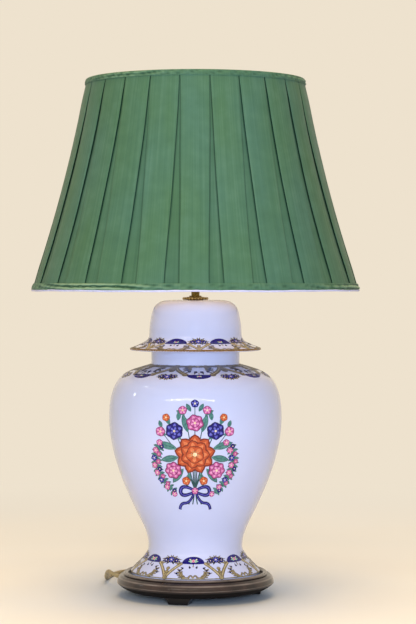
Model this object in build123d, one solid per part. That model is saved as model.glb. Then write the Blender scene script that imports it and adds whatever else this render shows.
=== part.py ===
from build123d import *
from math import cos, degrees, pi, radians, sin, sqrt, tan
import os

# Porcelain jar lamp on a turned stand, with a box-pleated shade.
# Millimetres, +Z up. The origin is on the table under the lamp's axis, and the front faces -Y.

# Fits and clearances
running_clearance = 0.1
sliding_gap = 0.3
cloth_gap = 0.3
cut_overrun = 5.0
weld_overlap = 1.0

# Stand and its feet
foot_height = 9.0
foot_count = 3
foot_first_angle = -105.0
foot_top_width = 38.0
foot_bottom_width = 27.0
foot_depth = 26.0
foot_side_hollow = 1.2
foot_toe_in = 1.5
stand_rim_radius = 100.5
stand_rim_width = 7.0
stand_rim_base = 2.6
stand_rim_bead = 3.2
stand_rim_step = 0.8
stand_ovolo_step = 3.0
stand_ovolo_width = 6.0
stand_ovolo_drop = 1.0
stand_ovolo_bulge = 1.1
stand_undercut = 16.5
stand_cove_bulge = 0.6
stand_cove_middle = 4.2
stand_edge_rise = 10.0
stand_edge_band = 1.5
stand_thickness = 20.0
recess_radius = 40.0
recess_depth = 14.0

# Jar
jar_seat_gap = 3.7
jar_foot_band = 7.5
jar_foot_bevel = 1.5
jar_waist_radius = 65.6
jar_waist_height = 42.0
jar_flank_radius = 84.6
jar_flank_height = 94.0
jar_belly_radius = 120.6
jar_belly_height = 222.0
jar_shoulder_radius = 104.5
jar_shoulder_height = 277.0
jar_neck_radius = 61.6
jar_neck_base = 295.0
jar_neck_height = 19.0
jar_wall = 6.0
jar_floor = 8.0
jar_foot_ring = 11.0
jar_foot_recess = 4.0
jar_headings = ((-0.62, 0.78), (0, 1), (0.425, 0.905), (0, 1), (-0.72, 0.69), (-0.95, 0.3))
jar_inside_end = 0.96

# Lid
lid_height = 70.0
lid_flat_radius = 26.0
lid_corner_radius = 53.0
lid_corner_drop = 5.0
lid_side_radius = 61.0
lid_side_drop = 18.5
lid_body_radius = 64.4
lid_body_drop = 43.0
lid_flare_rise = 12.8
lid_flare_step = 1.6
lid_flare_reach = 11.6
lid_flare_middle = 5.8
lid_flange_radius = 91.4
lid_flange_edge = 3.2
lid_edge_middle = 1.8
lid_edge_setback = 0.8
lid_edge_undercut = 1.8
lid_wall = 5.0
lid_inner_drop = 12.0
lid_inner_round = (5.5, 2.5)
lid_headings = ((1, 0), (0.82, -0.57), (0.2, -0.98), (0.03, -1), (0.4, -0.92), (0.88, -0.47), (0.95, -0.3))
lid_spigot_depth = 12.0
lid_spigot_gap = 1.0

# Rod and the brass on the lid
rod_radius = 5.0
rod_bore_radius = 3.5
rod_hole_gap = 0.6
rod_thread_end = 3.0
rod_thread_top = 2.0
washer_radius = 14.0
washer_thickness = 1.5
nut_across_flats = 17.0
nut_thickness = 3.5
lid_washer_radius = 11.0
lid_washer_thickness = 1.0
cap_radius = 17.3
cap_collar_radius = 8.6
cap_height = 5.0
cap_lobes = 14
cap_lobe_cut = 1.7
cap_lobe_place = 0.7
cap_rim_drop = 0.5
cap_rim_bevel = 2.0
cap_rim_edge = 0.6
cap_dish = (2.4, 2.1)
cap_collar_step = 1.2
cap_collar_height = 1.2
cap_collar_flare = 0.4
stem_radius = 5.75
stem_length = 32.5

# Lampholder and switch
holder_collar_radius = 8.0
holder_collar_height = 6.0
holder_radius = 15.5
holder_wall = 1.8
holder_cone_height = 7.0
holder_inner_rise = 8.0
holder_cap_height = 20.0
holder_barrel_height = 22.0
skirt_radius = 14.3
skirt_bore_radius = 11.3
skirt_height = 22.0
block_drop = 6.0
block_height = 14.0
plunger_radius = 2.0
plunger_spread = 5.0
plunger_rise = 3.4
plunger_well = 4.0
switch_radius = 2.4
switch_length = 40.0
switch_rise = 9.0
switch_travel = 4.0
switch_end_round = 1.08

# Bulb
bulb_cap_radius = 11.0
bulb_cap_height = 26.0
bulb_cap_wall = 0.6
bulb_pin_radius = 1.1
bulb_pin_reach = 13.0
bulb_pin_height = 7.0
bulb_pin_gap = 0.3
bulb_turn = 18.0
bulb_radius = 30.0
bulb_neck_radius = 10.2
bulb_length = 76.0
bulb_glass_wall = 0.8
bulb_cement_depth = 6.0
bulb_swell_angle = 35.0
bulb_pad_radius = 2.2
bulb_pad_height = 0.6
bulb_disc_thickness = 3.0

# Shade carrier and shade ring
ring_plate = 1.2
shade_ring_radius = 19.0
shade_ring_height = 6.0
carrier_wire_radius = 1.75
carrier_plate_margin = 4.0
carrier_arm_radius = 46.0
carrier_arm_rise = 34.0
carrier_arm_drop = 40.0
carrier_arm_head = 14.0
carrier_arm_bends = (16.0, 30.0, 10.0)
carrier_height = 194.0
carrier_ledge_inner = 33.0
carrier_ledge_outer = 42.0
carrier_ledge_plate = 2.0
carrier_collar_radius = 37.2
carrier_collar_wall = 1.5
carrier_collar_height = 5.0

# Shade
shade_above_ledge = 32.0
shade_height = 292.5
shade_top_radius = 149.6
shade_bottom_radius = 225.8
shade_bow = 6.0
pleat_count = 24
pleat_width = 38.5
pleat_rise = 1.6
cover_cloth = 0.8
lining_cloth = 0.8
trim_cloth = 0.8
top_trim_height = 8.0
bottom_trim_height = 9.5
frame_wire_radius = 1.5
frame_ring_wire_radius = 1.9
strut_count = 6
strut_first_angle = 90.0
fitter_arm_count = 3
fitter_arm_radius = 1.1
fitter_plate = 2.4
fitter_width = 5.0
fitter_arm_rise = 14.0

# Flex, coil and plug
flex_radius = 3.0
flex_heading = 135.0
flex_offset = 31.0
flex_slope = 9.0
flex_axis_height = 3.5
flex_turn_height = 4.2
flex_run_height = 5.2
flex_turn_place = 14.0
flex_rise_place = 50.0
flex_bend_radii = (60.0, 12.0, 9.0)
flex_groove_gap = 0.5
flex_end_length = 1.0
relief_embed = 21.0
relief_seat_length = 15.0
relief_length = 38.0
relief_radius = 5.0
relief_tip_radius = 3.8
coil_centre = (-40.0, 196.5)
coil_radius = 48.5
coil_pitch = 6.5
coil_layer_step = 6.5
coil_half_turns = 7
coil_rest_height = 4.0
coil_end_run = 6.0
tie_width = 8.0
tie_thickness = 0.6
plug_length = 50.0
plug_width = 47.0
plug_thickness = 21.0
plug_sleeve_length = 20.0
plug_sleeve_radius = 6.0
plug_sleeve_wall = 0.9
plug_sleeve_root = 2.0
plug_neck_width = 25.85
plug_shoulder = 15.0
plug_nose = 8.0
plug_edge_round = 3.0
plug_pin_size = (4.0, 6.35)
plug_pin_place = 16.0
plug_pin_spread = 11.0
plug_earth_size = (8.0, 4.0)
plug_earth_place = 38.2
plug_pin_length = 17.7
plug_earth_length = 22.7
fuse_cover_thickness = 1.0
fuse_cover_size = (12.0, 10.0)
fuse_cover_place = 22.0

# Radii that follow from the stand's rim
stand_edge_radius = stand_rim_radius + stand_ovolo_step + stand_ovolo_width
stand_base_radius = stand_edge_radius - stand_undercut
jar_foot_radius = stand_rim_radius - stand_rim_width - jar_seat_gap

# Heights that follow from the sizes above
stand_bottom = foot_height
seat_height = stand_bottom + stand_thickness
stand_edge_height = stand_bottom + stand_edge_rise
recess_top = stand_bottom + recess_depth
washer_bottom = recess_top - washer_thickness
nut_bottom = washer_bottom - nut_thickness
rod_bottom = nut_bottom - rod_thread_end
neck_top = seat_height + jar_neck_base + jar_neck_height
lid_top = neck_top + lid_height
cap_bottom = lid_top + lid_washer_thickness
cap_top = cap_bottom + cap_height
stem_top = cap_top + stem_length
barrel_bottom = stem_top + holder_cap_height
skirt_bottom = barrel_bottom + holder_barrel_height
skirt_top = skirt_bottom + skirt_height
rod_top = stem_top + holder_collar_height + rod_thread_top
block_top = skirt_bottom - block_drop
plunger_top = block_top + plunger_rise
switch_height = barrel_bottom + switch_rise
bulb_bottom = plunger_top + sliding_gap
bulb_cap_top = bulb_bottom + bulb_cap_height
bulb_pin_level = bulb_bottom + bulb_pin_height
shade_ring_bottom = skirt_bottom + ring_plate
ledge_top = skirt_bottom + carrier_height
shade_top = ledge_top + shade_above_ledge
shade_bottom = shade_top - shade_height
cover_bottom = shade_bottom + trim_cloth + cloth_gap
cover_top = shade_top - trim_cloth - cloth_gap
rod_hole_radius = rod_radius + rod_hole_gap
relief_place = sqrt(stand_edge_radius ** 2 - flex_offset ** 2) - relief_embed

# Route of the flex on the table, from the strain relief round to the coil
lead_points = [
    (-127.0, 97.0, 21.0),
    (-132.0, 122.0, 10.0),
    (-135.0, 148.0, 3.0),
    (-134.0, 175.0, 3.0),
    (-127.0, 201.0, 3.0),
    (-111.0, 223.0, 3.0),
    (-88.0, 238.0, 3.0),
]
lead_first_run = 18.0
lead_last_run = 20.0
tail_first_run = 20.0
tail_last_run = 20.0
tail_turn = -20.0


def turned(*edges):
    """Solid of revolution about Z from a closed outline drawn in (radius, height)."""
    return revolve(Plane.XZ * make_face(edges), Axis.Z)


def turned_polygon(*points):
    """Solid of revolution from the corners of an outline in (radius, height)."""
    return turned(*Polyline(*points, close=True).edges())


def tube_along(path, radius):
    """Round bar swept along a path."""
    start = Plane(path @ 0, z_dir=path % 0)
    return sweep(start * Circle(radius), path=path)


def rod_between(start, end, radius):
    """Straight round bar between two points."""
    return tube_along(Line(start, end), radius)


def upright_box(length, width, height):
    """Box centred on its origin in plan, standing on it."""
    return Box(length, width, height, align=(Align.CENTER, Align.CENTER, Align.MIN))


def upright_rod(radius, height):
    """Round bar standing on its origin."""
    return Cylinder(radius, height, align=(Align.CENTER, Align.CENTER, Align.MIN))


def outward(angle, distance, height):
    """Point at a distance from the axis in a direction given in degrees from +X."""
    return Vector(distance * cos(radians(angle)), distance * sin(radians(angle)), height)


def parameter_at_height(edge, height):
    """Place along a rising outline edge where it reaches a height."""
    low = 0.0
    high = 1.0
    for _ in range(30):
        middle = (low + high) / 2
        if edge.position_at(middle).Y < height:
            low = middle
        else:
            high = middle
    return low


def inside_points(edge, wall, first, last, count):
    """Points one wall thickness to the left of an outline edge."""
    points = []
    for index in range(count):
        place = first + (last - first) * index / (count - 1)
        spot = edge.position_at(place)
        along = edge.tangent_at(place)
        points.append((spot.X - wall * along.Y, spot.Y + wall * along.X))
    return points


# Stand

def make_stand():
    """Turned dish with a moulded edge, a recess and a flex groove underneath."""
    rim_inner = stand_rim_radius - stand_rim_width
    rim_base = seat_height + stand_rim_base
    rim_middle = stand_rim_radius - stand_rim_width / 2
    band_top = stand_edge_height + stand_edge_band
    ovolo_end = stand_rim_radius + stand_ovolo_step
    ovolo_top = rim_base - stand_ovolo_drop
    rim_step = stand_rim_radius - stand_rim_step
    outline = [
        Line((rod_hole_radius, recess_top), (recess_radius, recess_top)),
        Line((recess_radius, recess_top), (recess_radius, stand_bottom)),
        Line((recess_radius, stand_bottom), (stand_base_radius, stand_bottom)),
        ThreePointArc(
            (stand_base_radius, stand_bottom),
            (stand_edge_radius - stand_undercut / 2 + stand_cove_bulge, stand_bottom + stand_cove_middle),
            (stand_edge_radius, stand_edge_height),
        ),
        Line((stand_edge_radius, stand_edge_height), (stand_edge_radius, band_top)),
        ThreePointArc(
            (stand_edge_radius, band_top),
            (
                ovolo_end + stand_ovolo_width / 2 + stand_ovolo_bulge,
                (band_top + ovolo_top) / 2 + stand_ovolo_bulge,
            ),
            (ovolo_end, ovolo_top),
        ),
        Line((ovolo_end, ovolo_top), (rim_step, ovolo_top)),
        Line((rim_step, ovolo_top), (stand_rim_radius, rim_base)),
        ThreePointArc(
            (stand_rim_radius, rim_base), (rim_middle, rim_base + stand_rim_bead), (rim_inner, rim_base)
        ),
        Line((rim_inner, rim_base), (rim_inner, seat_height)),
        Line((rim_inner, seat_height), (rod_hole_radius, seat_height)),
        Line((rod_hole_radius, seat_height), (rod_hole_radius, recess_top)),
    ]
    stand = turned(*outline)
    outside = flex_point(stand_edge_radius + cut_overrun)
    groove = rod_between(flex_point(flex_rise_place), outside, flex_radius + flex_groove_gap)
    socket = rod_between(flex_point(relief_place), outside, relief_radius)
    return stand - groove - socket


def make_foot(index):
    """Bracket foot with sloping sides, under the stand's edge."""
    angle = foot_first_angle + 360.0 / foot_count * index
    top = foot_top_width / 2
    bottom = foot_bottom_width / 2
    curve = (top + bottom) / 2 - foot_side_hollow
    middle = foot_height / 2
    outline = [
        Line((-bottom, 0), (bottom, 0)),
        ThreePointArc((bottom, 0), (curve, middle), (top, foot_height)),
        Line((top, foot_height), (-top, foot_height)),
        ThreePointArc((-top, foot_height), (-curve, middle), (-bottom, 0)),
    ]
    bracket = extrude(Plane.YZ * make_face(outline), stand_base_radius + cut_overrun)
    band = turned_polygon(
        (stand_base_radius - foot_depth, 0),
        (stand_base_radius - foot_toe_in, 0),
        (stand_base_radius, foot_height),
        (stand_base_radius - foot_depth, foot_height),
    )
    return Rot(0, 0, angle) * (bracket & band)


# Porcelain

def jar_outline():
    """Outside of the jar from its foot band up to the root of the neck."""
    base = seat_height
    return Spline(
        (jar_foot_radius, base + jar_foot_band),
        (jar_waist_radius, base + jar_waist_height),
        (jar_flank_radius, base + jar_flank_height),
        (jar_belly_radius, base + jar_belly_height),
        (jar_shoulder_radius, base + jar_shoulder_height),
        (jar_neck_radius, base + jar_neck_base),
        tangents=jar_headings,
    )


def make_jar():
    """Hollow baluster jar with a flared foot and an upright neck."""
    base = seat_height
    outside = jar_outline()
    neck_root = base + jar_neck_base
    neck_bore = jar_neck_radius - jar_wall
    under = base + jar_foot_recess
    ring_inner = jar_foot_radius - jar_foot_ring
    first = parameter_at_height(outside, under + jar_floor)
    inner = inside_points(outside, jar_wall, first, jar_inside_end, 9)
    inner[0] = (inner[0][0], under + jar_floor)
    throat = (neck_bore, neck_root)
    inside = Spline(*inner, throat)
    outline = [
        outside,
        Line((jar_neck_radius, neck_root), (jar_neck_radius, neck_top)),
        Line((jar_neck_radius, neck_top), (neck_bore, neck_top)),
        Line((neck_bore, neck_top), throat),
        inside,
        Line(inner[0], (rod_hole_radius, under + jar_floor)),
        Line((rod_hole_radius, under + jar_floor), (rod_hole_radius, under)),
        Line((rod_hole_radius, under), (ring_inner - jar_foot_bevel, under)),
        Line((ring_inner - jar_foot_bevel, under), (ring_inner, base)),
        Line((ring_inner, base), (jar_foot_radius - jar_foot_bevel, base)),
        Line((jar_foot_radius - jar_foot_bevel, base), (jar_foot_radius, base + jar_foot_bevel)),
        Line((jar_foot_radius, base + jar_foot_bevel), (jar_foot_radius, base + jar_foot_band)),
    ]
    return turned(*outline)


def make_lid():
    """Hat-shaped lid with a flared flange and a spigot that drops into the neck."""
    flange_top = neck_top + lid_flange_edge
    flange_edge = (lid_flange_radius - lid_edge_setback, flange_top)
    flange_under = lid_flange_radius - lid_edge_undercut
    spigot = jar_neck_radius - jar_wall - lid_spigot_gap
    spigot_inner = spigot - lid_wall
    outside = Spline(
        (lid_flat_radius, lid_top),
        (lid_corner_radius, lid_top - lid_corner_drop),
        (lid_side_radius, lid_top - lid_side_drop),
        (lid_body_radius, lid_top - lid_body_drop),
        (lid_body_radius + lid_flare_step, flange_top + lid_flare_rise),
        (lid_body_radius + lid_flare_reach, flange_top + lid_flare_middle),
        flange_edge,
        tangents=lid_headings,
    )
    inner_top = lid_top - lid_wall
    inner_corner = lid_side_radius - 2 * lid_wall
    inner_side = inner_top - lid_inner_drop
    round_in, round_up = lid_inner_round
    outline = [
        outside,
        ThreePointArc(
            flange_edge,
            (lid_flange_radius, neck_top + lid_edge_middle),
            (flange_under, neck_top),
        ),
        Line((flange_under, neck_top), (spigot, neck_top)),
        Line((spigot, neck_top), (spigot, neck_top - lid_spigot_depth)),
        Line((spigot, neck_top - lid_spigot_depth), (spigot_inner, neck_top - lid_spigot_depth)),
        Line((spigot_inner, neck_top - lid_spigot_depth), (spigot_inner, neck_top + lid_wall)),
        Line((spigot_inner, neck_top + lid_wall), (inner_corner, inner_side)),
        ThreePointArc(
            (inner_corner, inner_side),
            (inner_corner - round_in, (inner_side + inner_top) / 2 + round_up),
            (lid_flat_radius, inner_top),
        ),
        Line((lid_flat_radius, inner_top), (rod_hole_radius, inner_top)),
        Line((rod_hole_radius, inner_top), (rod_hole_radius, lid_top)),
        Line((rod_hole_radius, lid_top), (lid_flat_radius, lid_top)),
    ]
    return turned(*outline)


# Rod, nut, washers, vase cap and stem

def make_rod():
    """Hollow threaded rod that clamps the stand, jar and lid together."""
    return Pos(0, 0, rod_bottom) * tube(rod_radius, rod_bore_radius, rod_top - rod_bottom)


def tube(outer, inner, height):
    """Upright tube on the plane of its own origin."""
    return turned_polygon((inner, 0), (outer, 0), (outer, height), (inner, height))


def make_base_washer():
    """Steel washer under the stand."""
    return Pos(0, 0, washer_bottom) * tube(washer_radius, rod_radius + running_clearance, washer_thickness)


def make_base_nut():
    """Hexagon nut on the lower end of the rod."""
    hexagon = RegularPolygon(nut_across_flats / 2, 6, major_radius=False)
    bored = hexagon - Circle(rod_radius + running_clearance / 2)
    return Pos(0, 0, nut_bottom) * extrude(bored, nut_thickness)


def make_lid_washer():
    """Rubber washer between the lid and the vase cap."""
    return Pos(0, 0, lid_top) * tube(lid_washer_radius, rod_radius + running_clearance, lid_washer_thickness)


def make_vase_cap():
    """Brass cap with a scalloped rim and a raised collar."""
    bore = rod_radius + running_clearance
    rim_low = cap_bottom - cap_rim_drop
    rim_top = rim_low + cap_rim_edge
    collar_low = cap_top - cap_collar_height
    neck_radius = cap_collar_radius + cap_collar_step
    neck_low = collar_low - cap_collar_flare
    dish_in, dish_up = cap_dish
    outline = [
        Line((bore, cap_bottom), (lid_washer_radius, cap_bottom)),
        Line((lid_washer_radius, cap_bottom), (cap_radius - cap_rim_bevel, rim_low)),
        Line((cap_radius - cap_rim_bevel, rim_low), (cap_radius, rim_top)),
        ThreePointArc(
            (cap_radius, rim_top), (cap_radius - dish_in, cap_bottom + dish_up), (neck_radius, neck_low)
        ),
        Line((neck_radius, neck_low), (cap_collar_radius, collar_low)),
        Line((cap_collar_radius, collar_low), (cap_collar_radius, cap_top)),
        Line((cap_collar_radius, cap_top), (bore, cap_top)),
        Line((bore, cap_top), (bore, cap_bottom)),
    ]
    cap = turned(*outline)
    for index in range(cap_lobes):
        place = outward(360.0 / cap_lobes * (index + 0.5), cap_radius + cap_lobe_place, rim_low - cut_overrun)
        cap -= Pos(*place) * upright_rod(cap_lobe_cut, cap_height + 2 * cut_overrun)
    return cap


def make_stem():
    """Brass tube that covers the rod between the vase cap and the lampholder."""
    return Pos(0, 0, cap_top) * tube(stem_radius, rod_radius + running_clearance, stem_length)


# Lampholder and switch

def make_holder_cap():
    """Lower half of the lampholder, screwed on the rod."""
    collar_top = stem_top + holder_collar_height
    bore = rod_radius + running_clearance / 2
    inner = holder_radius - holder_wall
    floor = collar_top + rod_thread_top
    return turned_polygon(
        (bore, stem_top),
        (holder_collar_radius, stem_top),
        (holder_collar_radius, collar_top),
        (holder_radius, collar_top + holder_cone_height),
        (holder_radius, barrel_bottom),
        (inner, barrel_bottom),
        (inner, collar_top + holder_inner_rise),
        (holder_collar_radius, floor),
        (bore, floor),
    )


def switch_hole(radius):
    """Cross hole for the push bar."""
    reach = holder_radius + cut_overrun
    return rod_between((-reach, 0, switch_height), (reach, 0, switch_height), radius)


def make_holder_barrel():
    """Barrel of the lampholder, with a cross hole for the push bar."""
    barrel = Pos(0, 0, barrel_bottom) * tube(holder_radius, holder_radius - holder_wall, holder_barrel_height)
    return barrel - switch_hole(switch_radius + running_clearance)


def make_holder_skirt():
    """Bayonet skirt with two J-shaped grooves inside."""
    skirt = Pos(0, 0, skirt_bottom) * tube(skirt_radius, skirt_bore_radius, skirt_height)
    half = bulb_pin_radius + bulb_pin_gap
    reach = bulb_pin_reach + bulb_pin_gap
    half_angle = degrees(half / skirt_bore_radius)
    inner = skirt_bore_radius - cut_overrun
    low = bulb_pin_level - half
    high = bulb_pin_level + half
    mouth = skirt_top + cut_overrun
    floor = turned_polygon((inner, low), (reach, low), (reach, high), (inner, high))
    entry = turned_polygon((inner, low), (reach, low), (reach, mouth), (inner, mouth))
    for side in (0.0, 180.0):
        skirt -= floor & wedge(side - half_angle, side + bulb_turn + half_angle)
        skirt -= entry & wedge(side + bulb_turn - half_angle, side + bulb_turn + half_angle)
    return skirt


def wedge(start, end):
    """Upright slice of space between two directions, through the lampholder."""
    reach = holder_radius * 3
    corners = [Vector(0, 0, 0), outward(start, reach, 0), outward(end, reach, 0)]
    return Pos(0, 0, barrel_bottom) * extrude(make_face(Polyline(*corners, close=True).edges()), reach * 3)


def make_block():
    """Insulating block inside the barrel, with holes for the bar and the contacts."""
    radius = holder_radius - holder_wall - running_clearance
    block = Pos(0, 0, block_top - block_height) * upright_rod(radius, block_height)
    block -= switch_hole(switch_radius + running_clearance)
    for side in (-1, 1):
        well = upright_rod(plunger_radius + running_clearance, plunger_well)
        block -= Pos(0, side * plunger_spread, block_top - plunger_well) * well
    return block


def make_plungers():
    """Pair of spring contacts that press on the bulb."""
    pair = Part()
    for side in (-1, 1):
        pin = upright_rod(plunger_radius, plunger_well + plunger_rise)
        pair += Pos(0, side * plunger_spread, block_top - plunger_well) * pin
    return pair


def make_switch_bar():
    """Push bar with rounded ends, standing out further on the left when off."""
    shift = -switch_travel / 2
    half = switch_length / 2
    bar = rod_between((shift - half, 0, switch_height), (shift + half, 0, switch_height), switch_radius)
    return fillet(bar.edges().filter_by(GeomType.CIRCLE), switch_end_round)


# Bulb

def make_bulb_cap():
    """Bayonet cap with two pins."""
    shell = Pos(0, 0, bulb_bottom) * tube(bulb_cap_radius, bulb_cap_radius - bulb_cap_wall, bulb_cap_height)
    for side in (-1, 1):
        inner = bulb_cap_radius - bulb_cap_wall
        shell += rod_between((side * inner, 0, bulb_pin_level), (side * bulb_pin_reach, 0, bulb_pin_level),
                             bulb_pin_radius)
    return shell


def make_bulb_contacts():
    """Dark insulating disc in the end of the cap, with two contact pads."""
    disc_radius = bulb_cap_radius - bulb_cap_wall
    disc = Pos(0, 0, bulb_bottom + bulb_pad_height) * upright_rod(disc_radius, bulb_disc_thickness)
    for side in (-1, 1):
        pad = upright_rod(bulb_pad_radius, bulb_pad_height)
        disc += Pos(0, side * plunger_spread, bulb_bottom) * pad
    return disc


def make_bulb_glass():
    """Opal glass envelope, open where it is cemented into the cap."""
    centre = bulb_cap_top + bulb_length - bulb_radius
    mouth = bulb_cap_top - bulb_cement_depth
    neck = bulb_neck_radius
    inner_neck = neck - bulb_glass_wall
    inner_radius = bulb_radius - bulb_glass_wall
    swell = radians(bulb_swell_angle)
    crown = radians(30.0)
    low = centre - bulb_radius * sin(swell)
    outline = [
        Line((neck, mouth), (neck, bulb_cap_top)),
        Spline(
            (neck, bulb_cap_top),
            (bulb_radius * cos(swell), low),
            tangents=[(0, 1), (sin(swell), cos(swell))],
        ),
        ThreePointArc(
            (bulb_radius * cos(swell), low),
            (bulb_radius * cos(crown), centre + bulb_radius * sin(crown)),
            (0, centre + bulb_radius),
        ),
        Line((0, centre + bulb_radius), (0, centre + inner_radius)),
        ThreePointArc(
            (0, centre + inner_radius),
            (inner_radius * cos(crown), centre + inner_radius * sin(crown)),
            (inner_radius * cos(swell), centre - inner_radius * sin(swell)),
        ),
        Spline(
            (inner_radius * cos(swell), centre - inner_radius * sin(swell)),
            (inner_neck, bulb_cap_top),
            tangents=[(-sin(swell), -cos(swell)), (0, -1)],
        ),
        Line((inner_neck, bulb_cap_top), (inner_neck, mouth)),
        Line((inner_neck, mouth), (neck, mouth)),
    ]
    return turned(*outline)


# Shade carrier

def make_shade_ring():
    """Threaded ring that clamps the carrier to the lampholder."""
    return Pos(0, 0, shade_ring_bottom) * tube(
        shade_ring_radius, skirt_radius + running_clearance, shade_ring_height
    )


def make_carrier():
    """Duplex carrier: a clamped ring, two wire arms round the bulb, and a ledge with a collar."""
    plate_inner = skirt_radius + running_clearance
    plate_outer = shade_ring_radius + carrier_plate_margin
    ledge_bottom = ledge_top - carrier_ledge_plate
    carrier = Pos(0, 0, skirt_bottom) * tube(plate_outer, plate_inner, ring_plate)
    carrier += Pos(0, 0, ledge_bottom) * tube(carrier_ledge_outer, carrier_ledge_inner, carrier_ledge_plate)
    carrier += Pos(0, 0, ledge_bottom) * tube(
        carrier_collar_radius, carrier_collar_radius - carrier_collar_wall,
        carrier_ledge_plate + carrier_collar_height,
    )
    foot = (plate_outer - weld_overlap, skirt_bottom + ring_plate / 2)
    head = ((carrier_ledge_inner + carrier_ledge_outer) / 2, ledge_bottom + weld_overlap / 2)
    arm_points = [
        foot,
        (carrier_arm_radius, skirt_bottom + carrier_arm_rise),
        (carrier_arm_radius, ledge_bottom - carrier_arm_drop),
        (head[0], ledge_bottom - carrier_arm_head),
        head,
    ]
    path = Plane.XZ * FilletPolyline(*arm_points, radius=list(carrier_arm_bends))
    arm = tube_along(path, carrier_wire_radius)
    return carrier + arm + Rot(0, 0, 180) * arm


# Shade

def shade_radius(height):
    """Radius of the flat cloth of the cover at a height: a straight slope with an inward bow."""
    share = (height - shade_bottom) / shade_height
    slope = shade_bottom_radius + (shade_top_radius - shade_bottom_radius) * share
    return slope - 4 * shade_bow * share * (1 - share)


def shade_arc(offset, low, high):
    """Part of the shade's outline, moved out by an offset, between two heights."""
    middle = (low + high) / 2
    return ThreePointArc(
        (shade_radius(low) + offset, low),
        (shade_radius(middle) + offset, middle),
        (shade_radius(high) + offset, high),
    )


def shade_shell(outer, inner, low, high):
    """Thin turned wall between two offsets from the shade's outline."""
    outside = shade_arc(outer, low, high)
    inside = shade_arc(inner, low, high)
    return turned(outside, inside, Line(outside @ 0, inside @ 0), Line(outside @ 1, inside @ 1))


wire_offset = -cover_cloth - cloth_gap - frame_ring_wire_radius
lining_offset = wire_offset - frame_ring_wire_radius - cloth_gap
bottom_ring_height = cover_bottom + frame_ring_wire_radius
top_ring_height = cover_top - frame_ring_wire_radius


def pleat_section(height):
    """Outline of the pleated cover at one height: flat panels that stand out, with gaps between."""
    low = shade_radius(height)
    crest = low + pleat_rise
    half = degrees(pleat_width / 2 / crest)
    pitch = 360.0 / pleat_count
    edges = []
    for index in range(pleat_count):
        start = -90.0 + index * pitch - half
        end = start + 2 * half
        following = start + pitch
        edges.append(CenterArc((0, 0), crest, start, 2 * half))
        edges.append(Line(outward(end, crest, 0), outward(end, low, 0)))
        edges.append(CenterArc((0, 0), low, end, following - end))
        edges.append(Line(outward(following, low, 0), outward(following, crest, 0)))
    return Pos(0, 0, height) * make_face(edges)


def make_cover():
    """Box-pleated cloth cover."""
    levels = [cover_bottom, (cover_bottom + cover_top) / 2, cover_top]
    pleated = loft([pleat_section(level) for level in levels])
    inside = shade_arc(-cover_cloth, shade_bottom, shade_top)
    hollow = turned(
        inside,
        Line(inside @ 0, (0, shade_bottom)),
        Line((0, shade_bottom), (0, shade_top)),
        Line((0, shade_top), inside @ 1),
    )
    return pleated - hollow


def make_lining():
    """Plain cloth lining inside the wires, with a hole for each fitter arm."""
    lining = shade_shell(lining_offset, lining_offset - lining_cloth, cover_bottom, cover_top)
    for index in range(fitter_arm_count):
        start, end = fitter_arm_ends(index)
        lining -= rod_between(start, end, fitter_arm_radius + 2 * cloth_gap)
    return lining


def make_trim(edge_height, direction, height):
    """Folded binding over one edge of the shade."""
    outer = pleat_rise + cloth_gap
    inner = lining_offset - lining_cloth - cloth_gap
    far = edge_height + direction * height
    web = edge_height + direction * trim_cloth
    edge_radius = shade_radius(edge_height)
    far_radius = shade_radius(far)
    web_radius = shade_radius(web)
    return turned_polygon(
        (edge_radius + outer + trim_cloth, edge_height),
        (far_radius + outer + trim_cloth, far),
        (far_radius + outer, far),
        (web_radius + outer, web),
        (web_radius + inner, web),
        (far_radius + inner, far),
        (far_radius + inner - trim_cloth, far),
        (edge_radius + inner - trim_cloth, edge_height),
    )


def ring_wire(height):
    """Round wire ring of the frame at a height."""
    centre = shade_radius(height) + wire_offset
    return Pos(0, 0, height) * Torus(centre, frame_ring_wire_radius)


def make_frame():
    """Welded wire frame: two rings and upright struts."""
    upright = Plane.XZ * shade_arc(wire_offset, bottom_ring_height, top_ring_height)
    strut = tube_along(upright, frame_wire_radius)
    pitch = 360.0 / strut_count
    struts = [Rot(0, 0, strut_first_angle + pitch * index) * strut for index in range(strut_count)]
    return ring_wire(bottom_ring_height) + [ring_wire(top_ring_height)] + struts


def fitter_arm_ends(index):
    """Inner and outer end of one fitter arm, which runs to a strut."""
    angle = strut_first_angle + 360.0 / fitter_arm_count * index
    start_height = ledge_top + fitter_plate / 2
    end_height = start_height + fitter_arm_rise
    inner = carrier_collar_radius + sliding_gap + fitter_width - weld_overlap
    return (
        outward(angle, inner, start_height),
        outward(angle, shade_radius(end_height) + wire_offset, end_height),
    )


def make_fitter(frame):
    """Flat ring that sits on the carrier's ledge, with three arms welded to the struts."""
    bore = carrier_collar_radius + sliding_gap
    fitter = Pos(0, 0, ledge_top) * tube(bore + fitter_width, bore, fitter_plate)
    for index in range(fitter_arm_count):
        start, end = fitter_arm_ends(index)
        fitter += rod_between(start, end, fitter_arm_radius)
    return fitter - frame


# Flex

def flex_point(distance):
    """Point on the rising run of the flex, which passes beside the back foot."""
    height = flex_run_height + (distance - flex_rise_place) * tan(radians(flex_slope))
    return outward(flex_heading + 90.0, flex_offset, 0) + outward(flex_heading, distance, height)


lead_start = flex_point(relief_place + relief_length * cos(radians(flex_slope)))
lead_heading = (flex_point(1.0) - flex_point(0.0)).normalized()


def make_inner_flex():
    """Flex from the strain relief, under the stand and up the rod to the lampholder."""
    rise = flex_point(flex_rise_place)
    turn = flex_point(flex_turn_place)
    path = FilletPolyline(
        lead_start,
        rise,
        (turn.X, turn.Y, flex_turn_height),
        (0, 0, flex_axis_height),
        (0, 0, rod_top + flex_end_length),
        radius=list(flex_bend_radii),
    )
    return tube_along(path, flex_radius)


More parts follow.
